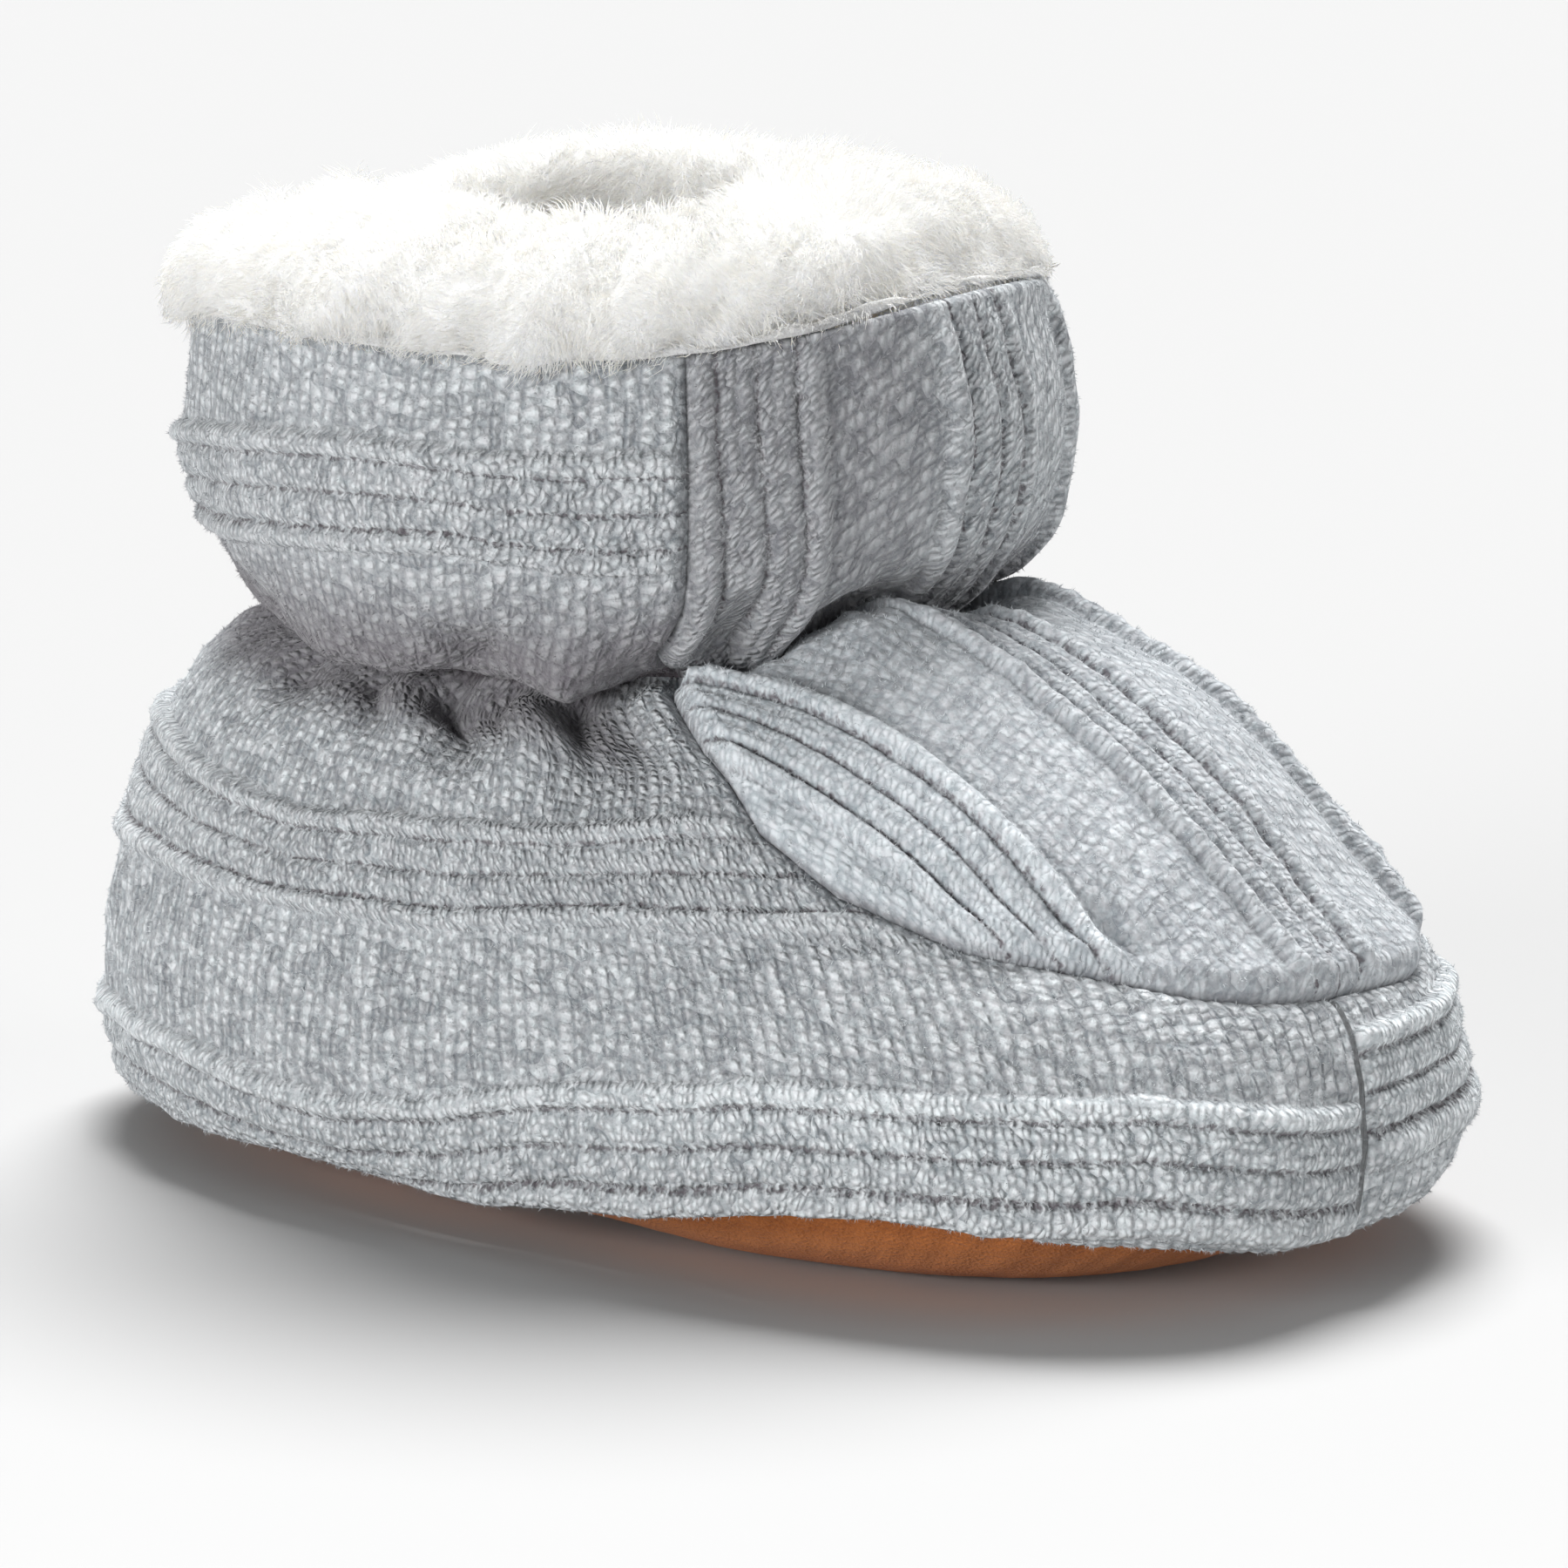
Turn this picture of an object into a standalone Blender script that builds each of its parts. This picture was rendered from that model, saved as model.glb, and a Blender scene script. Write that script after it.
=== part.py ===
"""Bootie slipper for an infant: a knit upper, a rolled plush collar, a padded suede sole and a footbed.

The shoe stands on its sole with the toe along +X. The origin is on the floor under the middle of the shoe.
"""
import math

import bpy
import numpy as np

# Overall sizes of the shoe, in metres
LENGTH = 0.1266
BALL_WIDTH = 0.0750
INSTEP_HEIGHT = 0.0520
TOE_LEAN = 0.0045

# Collar and shaft
COLLAR_LENGTH = 0.0770
COLLAR_WIDTH = 0.0640
COLLAR_SETBACK = 0.0140
SHAFT_HEIGHT = 0.0250

# Wall of the upper and the clearance between two pieces that touch
WALL = 0.0025
FIT_GAP = 0.0003

# Padded sole
SOLE_THICKNESS = 0.0036
SOLE_EDGE_HEIGHT = 0.0032
SOLE_EDGE_LIFT = 0.0033
SOLE_EDGE_CENTRE = 0.0360
SOLE_EDGE_SPREAD = 0.0240
ARCH_LIFT = 0.0010
ARCH_CENTRE = -0.0020
ARCH_HALF_LENGTH = 0.0150
SOLE_FLAT_SHARE = 0.66
SOLE_ROUNDING = 2.2

# Footbed
INSOLE_THICKNESS = 0.0028
INSOLE_SIDE_GAP = 0.0013

# Bulge of the knit over the sole's edge
BULGE_DROP = 0.0006
BULGE_OVERHANG = 0.0040

# Seams
SEAM_DEPTH = 0.0016
SEAM_HALF_WIDTH = 0.0016
APRON_STEP = 0.0008
APRON_STEP_WIDTH = 0.0030
TOE_SEAM_DEPTH = 0.0010
TOE_SEAM_ANGLE = math.radians(-1.0)

# Rolled plush collar
PLUSH_HEIGHT = 0.0088
PLUSH_WIDTH = 0.0115
PLUSH_OVERHANG = 0.0026
PLUSH_FRONT_LEAN = 0.0055
LINING_THICKNESS = 0.0042
LINING_DEPTH = 0.0145
LOCK_LENGTH = 0.0022
LOCK_COUNT = 150
LOCK_SEED = 11

# Facets
FRONT_COLUMNS = 30
BACK_COLUMNS = 34
SOLE_COLUMNS = 56
INSOLE_COLUMNS = 40
CUFF_COLUMNS = 84

# Angle of the side seams round the shoe, from the toe
SEAM_ANGLE = math.radians(72.0)

# Sections of the foot from the sole's edge to the dome. Heights are shares of the instep height,
# front, back and widest place are shares of the length, and half width is a share of the ball width.
FOOT_COLUMNS = ("name", "z_toe", "z_side", "z_heel", "front", "back", "half_width", "widest",
                "toe_power", "heel_power", "seam_degrees", "rise_power", "inset", "drop")
FOOT_SECTIONS = (
    ("bulge", 0.240, 0.264, 0.220, 0.500, -0.500, 0.500, 0.047, 2.55, 2.25, 72, 1.6, 1.00, 0.00),
    ("wall", 0.437, 0.440, 0.440, 0.481, -0.495, 0.480, 0.032, 2.45, 2.20, 72, 1.6, 1.00, -0.10),
    ("shoulder", 0.588, 0.646, 0.646, 0.417, -0.472, 0.433, 0.000, 2.35, 2.10, 72, 1.6, 0.90, -0.50),
    ("dome", 0.815, 0.798, 0.788, 0.313, -0.432, 0.380, -0.047, 2.25, 2.00, 68, 1.6, 0.80, -0.75),
)

# Sections of the shaft from the instep to the rim. Heights are shares of the shaft height above the
# instep, front and back are shares of the collar's length from its middle, half width of its width.
SHAFT_SECTIONS = (
    ("instep", -0.035, -0.320, -0.320, 0.480, -0.452, 0.378, 0.0, 2.10, 2.00, 60, 2.2, 0.90, -1.00),
    ("ankle", -0.180, -0.268, -0.288, 0.390, -0.377, 0.336, 0.0, 2.00, 2.00, 55, 1.8, 1.20, -0.50),
    ("droop", -0.040, -0.296, -0.248, 0.409, -0.426, 0.427, 0.0, 2.00, 2.00, 54, 1.1, 1.80, 0.90),
    ("flare", 0.200, -0.040, -0.020, 0.474, -0.480, 0.477, 0.0, 2.00, 2.00, 52, 2.5, 1.00, 0.30),
    ("shaft", 0.560, 0.400, 0.280, 0.494, -0.529, 0.508, 0.0, 2.00, 2.00, 51, 3.0, 1.00, 0.00),
    ("rim", 1.000, 0.852, 0.660, 0.461, -0.513, 0.492, 0.0, 2.00, 2.00, 50, 4.0, 1.00, 0.00),
)
ROW = {"feather": 0, "low": 1, "bulge": 2, "wall": 3, "shoulder": 4, "dome": 5, "instep": 6, "ankle": 7,
       "droop": 8, "flare": 9, "shaft": 10, "rim": 11}

# Apron seam: share of the way from the toe to the side seam, and the sections it passes there on the
# two sides of the shoe
APRON_SEAM = (
    # share, right side, left side
    (0.00, 3.26, 3.26),
    (0.22, 3.46, 3.13),
    (0.46, 3.68, 3.27),
    (0.68, 3.82, 3.52),
    (0.85, 4.08, 3.92),
    (0.95, 4.45, 4.40),
    (1.00, 5.20, 5.20),
)
SEAM_ROW_BACK = 4.40

# Gathers: angle from the toe, depth as a share of the wall, half width in degrees, and the sections
# between which they run. A negative depth is a ridge.
GATHERS = (
    ("near_front", -81, 0.70, 4.5, 4.50, 6.60),
    ("near_mid", -99, 0.75, 5.0, 4.60, 6.60),
    ("near_back", -124, 0.40, 6.0, 4.80, 6.60),
    ("near_ridge", -90, -0.30, 5.0, 4.60, 6.20),
    ("back", -158, 0.35, 7.0, 4.80, 6.60),
    ("far_back", 148, 0.50, 6.0, 4.80, 6.60),
    ("far_mid", 116, 0.70, 5.0, 4.60, 6.60),
    ("far_ridge", 104, -0.30, 5.0, 4.60, 6.20),
    ("far_front", 88, 0.75, 5.0, 4.50, 6.60),
    ("shaft_near_notch", -97, 0.95, 4.5, 7.60, 9.00),
    ("shaft_near_lobe", -84, -0.50, 4.0, 7.70, 9.20),
    ("shaft_near_front", -60, 0.70, 5.0, 7.60, 9.20),
    ("shaft_near_back", -135, 0.45, 7.0, 7.60, 9.10),
    ("shaft_far_back", 140, 0.45, 7.0, 7.60, 9.10),
    ("shaft_far_mid", 100, 0.60, 5.0, 7.60, 9.00),
    ("shaft_far_front", 60, 0.45, 5.0, 7.60, 9.20),
)

# Section of the plush collar, from the lining's lower edge up the wall, over the rim, round the roll and
# down the inside. Side says which length a share belongs to.
CUFF_SECTION = (
    # name, outward length, outward share, upward length, upward share
    ("rim_outer", "overhang", 0.10, "height", 0.03),
    ("sag_inner", "overhang", 0.40, "height", -0.07),
    ("sag_outer", "overhang", 0.85, "height", 0.02),
    ("cheek", "overhang", 1.00, "height", 0.34),
    ("shoulder_outer", "overhang", 0.50, "height", 0.68),
    ("crown_outer", "width", -0.14, "height", 0.92),
    ("crown", "width", -0.44, "height", 1.00),
    ("crown_inner", "width", -0.78, "height", 0.88),
    ("shoulder_inner", "width", -1.02, "height", 0.56),
    ("belly", "width", -1.12, "height", 0.12),
    ("chin", "width", -1.04, "height", -0.36),
)

# Where the roll hangs less far out, its underside keeps this many fit gaps off the rim
SAG_CLEARANCE = {"sag_inner": 1.2, "sag_outer": 2.4}

KNIT_COLOUR = (0.400, 0.430, 0.447, 1.0)
SUEDE_COLOUR = (0.330, 0.150, 0.072, 1.0)
PLUSH_COLOUR = (0.860, 0.855, 0.800, 1.0)
FOOTBED_COLOUR = (0.800, 0.785, 0.720, 1.0)


def bell(distance, half_width):
    """A smooth bump of height 1 that has faded to about a third at half_width."""
    return np.exp(-(np.asarray(distance) / half_width) ** 2)


def smooth_step(value, low, high):
    """Rise from 0 at low to 1 at high with flat ends."""
    share = np.clip((np.asarray(value) - low) / (high - low), 0.0, 1.0)
    return share * share * (3.0 - 2.0 * share)


def sole_edge_height(x):
    """Height of the sole's edge: low at heel and toe, higher beside the ball."""
    return SOLE_EDGE_HEIGHT + SOLE_EDGE_LIFT * bell(x - SOLE_EDGE_CENTRE, SOLE_EDGE_SPREAD)


def foot_section(row):
    """Turn one row of shares into lengths."""
    values = dict(zip(FOOT_COLUMNS, row))
    for key in ("z_toe", "z_side", "z_heel"):
        values[key] *= INSTEP_HEIGHT
    for key in ("front", "back", "widest"):
        values[key] *= LENGTH
    values["half_width"] *= BALL_WIDTH
    return values


def shaft_section(row):
    """Turn one row of shares into lengths, measured from the collar's middle."""
    values = dict(zip(FOOT_COLUMNS, row))
    for key in ("z_toe", "z_side", "z_heel"):
        values[key] = INSTEP_HEIGHT + SHAFT_HEIGHT * values[key]
    for key in ("front", "back"):
        values[key] = values[key] * COLLAR_LENGTH - COLLAR_SETBACK
    values["widest"] = -COLLAR_SETBACK
    values["half_width"] *= COLLAR_WIDTH
    return values


def edge_section(name, inward, drop):
    """A section at the sole's edge: the bulge's outline drawn in by a length."""
    values = foot_section(FOOT_SECTIONS[0])
    values["name"] = name
    values["drop"] = drop
    values["front"] -= inward
    values["back"] += inward
    values["half_width"] -= inward
    return values


def all_sections():
    """Every section from the sole's edge to the rim."""
    sections = [edge_section("feather", BULGE_OVERHANG + WALL, 0.0), edge_section("low", WALL * 0.8, 0.9)]
    sections += [foot_section(row) for row in FOOT_SECTIONS]
    sections += [shaft_section(row) for row in SHAFT_SECTIONS]
    return sections


SECTIONS = all_sections()


def section_loop(section, angles, inset):
    """Points of one section at the given angles round the shoe, drawn in by inset of the wall."""
    inward = inset * section["inset"]
    front = section["front"] - inward
    back = section["back"] + inward
    half_width = section["half_width"] - inward
    widest = section["widest"]
    turned = (angles + math.pi) % (2.0 * math.pi) - math.pi
    size = np.abs(turned)
    seam = math.radians(section["seam_degrees"])
    ahead = size * seam / SEAM_ANGLE
    behind = seam + (math.pi - seam) * (size - SEAM_ANGLE) / (math.pi - SEAM_ANGLE)
    phase = np.where(size < SEAM_ANGLE, ahead, behind) * np.sign(turned)
    along = np.cos(phase)
    across = np.sin(phase)
    power = np.where(along > 0.0, section["toe_power"], section["heel_power"])
    reach = np.abs(along) ** (2.0 / power)
    x = np.where(along > 0.0, widest + (front - widest) * reach, widest - (widest - back) * reach)
    y = half_width * np.sign(across) * np.abs(across) ** (2.0 / power)
    y = y - TOE_LEAN * np.clip(x / (0.5 * LENGTH), 0.0, None) ** 1.7
    if section["name"] == "feather":
        z = sole_edge_height(x)
    elif section["name"] == "low":
        z = sole_edge_height(x) + BULGE_DROP + 0.25 * SOLE_EDGE_LIFT * bell(x - SOLE_EDGE_CENTRE,
                                                                         SOLE_EDGE_SPREAD)
    else:
        end = np.where(along > 0.0, section["z_toe"], section["z_heel"]) - section["z_side"]
        z = section["z_side"] + end * np.abs(along) ** section["rise_power"]
    z = z + inset * section["drop"]
    return np.stack([x, y, z], axis=-1)


def surface(rows, angles, inset=0.0):
    """Points of the last where rows (section numbers, with fractions) and angles are given in pairs."""
    rows = np.broadcast_to(np.asarray(rows, float), np.shape(angles))
    loops = np.stack([section_loop(section, angles, inset) for section in SECTIONS])
    last = len(SECTIONS) - 1
    lower = np.clip(np.floor(rows).astype(int), 0, last - 1)
    part = (rows - lower)[:, None]
    pick = np.arange(len(angles))
    p1 = loops[lower, pick]
    p2 = loops[lower + 1, pick]
    p0 = np.where((lower > 0)[:, None], loops[np.maximum(lower - 1, 0), pick], 2.0 * p1 - p2)
    p3 = np.where((lower < last - 1)[:, None], loops[np.minimum(lower + 2, last), pick], 2.0 * p2 - p1)
    linear = (p2 - p0) * part
    square = (2.0 * p0 - 5.0 * p1 + 4.0 * p2 - p3) * part ** 2
    cube = (3.0 * p1 - p0 - 3.0 * p2 + p3) * part ** 3
    return 0.5 * (2.0 * p1 + linear + square + cube)


def slopes(rows, angles, inset=0.0):
    """How the surface moves with the section number and with the angle."""
    step = 0.02
    along_rows = (surface(rows + step, angles, inset) - surface(rows - step, angles, inset)) / (2.0 * step)
    along_angles = (surface(rows, angles + step, inset) - surface(rows, angles - step, inset)) / (2.0 * step)
    return along_rows, along_angles


def outward(rows, angles, inset=0.0):
    """Unit vectors that point out of the shoe."""
    along_rows, along_angles = slopes(rows, angles, inset)
    normal = np.cross(along_angles, along_rows)
    return normal / np.maximum(np.linalg.norm(normal, axis=-1, keepdims=True), 1e-12)


def apron_seam_row(angles):
    """Section number that the apron seam passes at each angle, and a smooth row behind the side seams."""
    turned = (angles + math.pi) % (2.0 * math.pi) - math.pi
    share = np.abs(turned) / SEAM_ANGLE
    steps, right, left = np.array(APRON_SEAM).T
    front = np.where(turned < 0.0, np.interp(share, steps, right), np.interp(share, steps, left))
    behind = smooth_step(share, 1.0, math.pi / SEAM_ANGLE)
    back = right[-1] + (SEAM_ROW_BACK - right[-1]) * behind
    return np.where(share < 1.0, front, back)


def panel_distance(rows, angles):
    """Distance inside the front panel, negative outside it."""
    along_rows, along_angles = slopes(rows, angles)
    per_row = np.linalg.norm(along_rows, axis=-1)
    per_angle = np.linalg.norm(along_angles, axis=-1)
    turned = (angles + math.pi) % (2.0 * math.pi) - math.pi
    size = np.abs(turned)
    held = np.clip(turned, -SEAM_ANGLE, SEAM_ANGLE)
    step = 0.02
    climb = (apron_seam_row(held + step) - apron_seam_row(held - step)) / (2.0 * step)
    climb = np.where(size < SEAM_ANGLE, climb, 0.0)
    from_side = (SEAM_ANGLE - size) * per_angle
    below = (rows - apron_seam_row(held)) * per_row
    from_seam = below / np.sqrt(1.0 + (climb * per_row / np.maximum(per_angle, 1e-6)) ** 2)
    corner = -np.hypot(np.minimum(from_side, 0.0), np.minimum(from_seam, 0.0))
    inside = np.minimum(from_side, from_seam)
    return np.where((from_side < 0.0) & (from_seam < 0.0), corner, inside)


def gather_relief(rows, angles):
    """Depth of the gathers, in metres, negative inward."""
    total = np.zeros(np.shape(angles))
    for _, degrees, depth, half_width, first, last in GATHERS:
        turn = (angles - math.radians(degrees) + math.pi) % (2.0 * math.pi) - math.pi
        middle = 0.5 * (first + last)
        span = 0.5 * (last - first)
        run = np.clip(1.0 - ((rows - middle) / span) ** 2, 0.0, 1.0)
        total = total - depth * WALL * bell(turn, math.radians(half_width)) * run
    return total


def seam_relief(rows, angles):
    """Troughs at the seams and the raised edge of the apron, in metres."""
    distance = panel_distance(rows, angles)
    on_foot = 1.0 - smooth_step(rows, ROW["dome"] + 0.4, ROW["ankle"])
    relief = -SEAM_DEPTH * bell(distance, SEAM_HALF_WIDTH) * (0.35 + 0.65 * on_foot)
    relief = relief + APRON_STEP * smooth_step(distance, 0.0, APRON_STEP_WIDTH) * on_foot
    turn = (angles - TOE_SEAM_ANGLE + math.pi) % (2.0 * math.pi) - math.pi
    below = 1.0 - smooth_step(rows, apron_seam_row(angles) - 0.2, apron_seam_row(angles) + 0.1)
    per_angle = np.linalg.norm(slopes(rows, angles)[1], axis=-1)
    toe = bell(turn * per_angle, SEAM_HALF_WIDTH) * below * smooth_step(rows, 0.2, 1.0)
    return relief - TOE_SEAM_DEPTH * toe


def skin(rows, angles, inset=0.0):
    """A loop of the upper's outer skin, or of its inner skin where inset is the wall."""
    points = surface(rows, angles, inset)
    if inset == 0.0:
        relief = gather_relief(rows, angles) + seam_relief(rows, angles)
    else:
        relief = 0.7 * gather_relief(rows, angles)
    return points + outward(rows, angles, inset) * relief[:, None]


def upper_angles():
    """Angles round the shoe, closer together at the side seams and the toe seam."""
    near_seam = (-4.5, -2.6, -1.2, 0.0, 1.2, 2.6, 4.5)
    clear = math.radians(6.0)
    seams = [TOE_SEAM_ANGLE, SEAM_ANGLE, -SEAM_ANGLE]
    angles = set()
    for seam in seams:
        spread = 0.7 if seam == TOE_SEAM_ANGLE else 1.0
        for degrees in near_seam:
            angles.add(seam + math.radians(degrees) * spread)
    evenly = list(np.linspace(-SEAM_ANGLE, SEAM_ANGLE, FRONT_COLUMNS, endpoint=False))
    evenly += list(np.linspace(SEAM_ANGLE, 2.0 * math.pi - SEAM_ANGLE, BACK_COLUMNS, endpoint=False))
    for angle in evenly:
        turned = (angle + math.pi) % (2.0 * math.pi) - math.pi
        if all(abs(turned - seam) > clear for seam in seams):
            angles.add(turned)
    return np.array(sorted(angles))


def outer_rows(angles):
    """Rows of the outer skin: fixed sections, with the rows in the middle drawn along the apron seam."""
    seam = apron_seam_row(angles)
    rows = [share * (seam - 0.30) for share in (0.0, 0.12, 0.25, 0.40, 0.58, 0.78, 1.0)]
    rows += [seam + offset for offset in (-0.12, 0.0, 0.12, 0.30)]
    first = seam + 0.30
    rows += [first + (ROW["instep"] - first) * share for share in (0.34, 0.67, 1.0)]
    fixed = (6.30, 6.60, 6.85, 7.10, 7.40, 7.70, 8.00, 8.40, 9.00, 9.60, 10.20, 10.70, 11.00)
    rows += [np.full(len(angles), value) for value in fixed]
    return rows


def inner_rows(angles):
    """Rows of the inner skin, from the rim down to the sole's edge."""
    fixed = (11.0, 10.2, 9.3, 8.5, 7.9, 7.4, 7.0, 6.5, 6.0, 5.0, 3.9, 2.7, 1.6, 0.7, 0.0)
    return [np.full(len(angles), value) for value in fixed]


def make_object(name, points, faces, colour, roughness):
    """Add one smooth-shaded object with its own material."""
    mesh = bpy.data.meshes.new(name)
    mesh.from_pydata([tuple(point) for point in points], [], faces)
    mesh.validate()
    item = bpy.data.objects.new(name, mesh)
    bpy.context.scene.collection.objects.link(item)
    material = bpy.data.materials.new(name)
    material.use_nodes = True
    shader = material.node_tree.nodes["Principled BSDF"]
    shader.inputs["Base Color"].default_value = colour
    shader.inputs["Roughness"].default_value = roughness
    shader.inputs["Metallic"].default_value = 0.0
    mesh.materials.append(material)
    mesh.shade_smooth()
    return item


def tube_faces(loop_count, columns):
    """Triangles between closed loops, with the last loop joined to the first."""
    faces = []
    for loop in range(loop_count):
        following = (loop + 1) % loop_count
        for column in range(columns):
            beside = (column + 1) % columns
            a = loop * columns + column
            b = loop * columns + beside
            c = following * columns + beside
            d = following * columns + column
            faces.append((a, b, c))
            faces.append((a, c, d))
    return faces


def pad_faces(loop_count, columns):
    """Triangles between closed loops, with a fan at each end round an added middle point."""
    faces = tube_faces(loop_count, columns)[:2 * columns * (loop_count - 1)]
    first_middle = loop_count * columns
    last_middle = first_middle + 1
    top = (loop_count - 1) * columns
    for column in range(columns):
        beside = (column + 1) % columns
        faces.append((first_middle, beside, column))
        faces.append((last_middle, top + column, top + beside))
    return faces


def make_upper():
    """The knit shell: outer skin, rim, inner skin and lower edge in one closed wall."""
    angles = upper_angles()
    loops = [skin(rows, angles) for rows in outer_rows(angles)]
    loops += [skin(rows, angles, WALL) for rows in inner_rows(angles)]
    faces = tube_faces(len(loops), len(angles))
    return make_object("upper", np.concatenate(loops), faces, KNIT_COLOUR, 0.95)


def sole_bottom(outline, share):
    """Underside of the sole at a share of the way from its middle to its edge."""
    x = outline[:, 0] * share
    y = outline[:, 1] * share
    rise = np.clip((share - SOLE_FLAT_SHARE) / (1.0 - SOLE_FLAT_SHARE), 0.0, 1.0) ** SOLE_ROUNDING
    reach = np.clip(1.0 - ((x - ARCH_CENTRE) / ARCH_HALF_LENGTH) ** 2, 0.0, 1.0)
    arch = ARCH_LIFT * reach ** 2
    z = np.maximum(arch, 0.0) * (1.0 - rise) + (outline[:, 2] - FIT_GAP) * rise
    return np.stack([x, y, z], axis=-1)


def sole_top(outline, share):
    """Upper side of the sole: flat in the middle, and up to the knit's edge at its rim."""
    rise = smooth_step(share, 0.55, 0.90)
    middle = SOLE_THICKNESS
    z = middle + (outline[:, 2] - FIT_GAP - middle) * rise
    return np.stack([outline[:, 0] * share, outline[:, 1] * share, z], axis=-1)


def even_angles(count):
    """Angles once round the shoe."""
    return np.linspace(-math.pi, math.pi, count, endpoint=False)


def make_outsole():
    """The padded suede sole, up to the lower edge of the knit."""
    angles = even_angles(SOLE_COLUMNS)
    outline = surface(np.zeros(len(angles)), angles)
    under = (0.28, SOLE_FLAT_SHARE, 0.68, 0.79, 0.89, 0.96)
    over = (0.985, 0.90, 0.78, 0.66, 0.55, 0.28)
    loops = [sole_bottom(outline, share) for share in under]
    loops.append(sole_bottom(outline, 1.0))
    loops += [sole_top(outline, share) for share in over]
    middle_x = 0.0
    arch = ARCH_LIFT * max(0.0, 1.0 - (ARCH_CENTRE / ARCH_HALF_LENGTH) ** 2) ** 2
    ends = np.array([[middle_x, 0.0, arch], [middle_x, 0.0, SOLE_THICKNESS]])
    points = np.concatenate(loops + [ends])
    return make_object("outsole", points, pad_faces(len(loops), SOLE_COLUMNS), SUEDE_COLOUR, 0.92)


def make_insole():
    """The footbed: a thin pad that lies on the sole and stays clear of the wall."""
    angles = even_angles(INSOLE_COLUMNS)
    sole = surface(np.zeros(len(angles)), angles)
    wall = surface(np.full(len(angles), 0.6), angles, WALL)
    inner = surface(np.zeros(len(angles)), angles, WALL)
    reach = np.linalg.norm(sole[:, :2], axis=-1)
    inside = np.minimum(np.linalg.norm(inner[:, :2], axis=-1), np.linalg.norm(wall[:, :2], axis=-1))
    keep = (inside - INSOLE_SIDE_GAP) / reach
    loops = []
    for share in (0.30, 0.56, 0.72, 0.84, 0.92):
        loops.append(sole_top(sole, share * keep.min()))
    lower_edge = sole_top(sole, 1.0)
    lower_edge[:, :2] = sole[:, :2] * keep[:, None]
    rim = lower_edge.copy()
    rim[:, 2] += FIT_GAP + 0.35 * INSOLE_THICKNESS
    for loop in loops:
        loop[:, 2] += FIT_GAP
    lower_edge[:, 2] += FIT_GAP
    tops = []
    for share in (0.96, 0.86, 0.62, 0.30):
        top = rim.copy()
        top[:, :2] *= share
        floor = sole_top(sole, 1.0)[:, 2] * smooth_step(share, 0.55, 1.0)
        floor = floor + SOLE_THICKNESS * (1.0 - smooth_step(share, 0.55, 1.0))
        top[:, 2] = floor + FIT_GAP + INSOLE_THICKNESS * (0.80 + 0.20 * (1.0 - share))
        tops.append(top)
    loops = loops + [lower_edge, rim] + tops
    bottom_z = SOLE_THICKNESS + FIT_GAP
    ends = np.array([[0.0, 0.0, bottom_z], [0.0, 0.0, bottom_z + INSOLE_THICKNESS]])
    points = np.concatenate(loops + [ends])
    return make_object("insole", points, pad_faces(len(loops), INSOLE_COLUMNS), FOOTBED_COLOUR, 0.95)


def rim_frame(angles):
    """The knit rim's outer edge and the level direction out of it at each angle."""
    rows = np.full(len(angles), float(ROW["rim"]))
    edge = surface(rows, angles)
    tangent = surface(rows, angles + 0.02) - surface(rows, angles - 0.02)
    level = np.stack([tangent[:, 1], -tangent[:, 0], np.zeros(len(angles))], axis=-1)
    level = level / np.linalg.norm(level, axis=-1, keepdims=True)
    return edge, level


def cuff_lining(angles, depth_share, off_wall):
    """A loop inside the shaft at a share of the lining's depth, off the wall by a length."""
    rows = np.full(len(angles), float(ROW["rim"]))
    depth = depth_share * LINING_DEPTH
    shaft_drop = surface(rows, angles)[:, 2] - surface(rows - 1.0, angles)[:, 2]
    rows = rows - depth / np.maximum(shaft_drop, 1e-4)
    wall = skin(np.maximum(rows, ROW["droop"] + 0.3), angles, WALL)
    _, level = rim_frame(angles)
    return wall - level * off_wall


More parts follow.
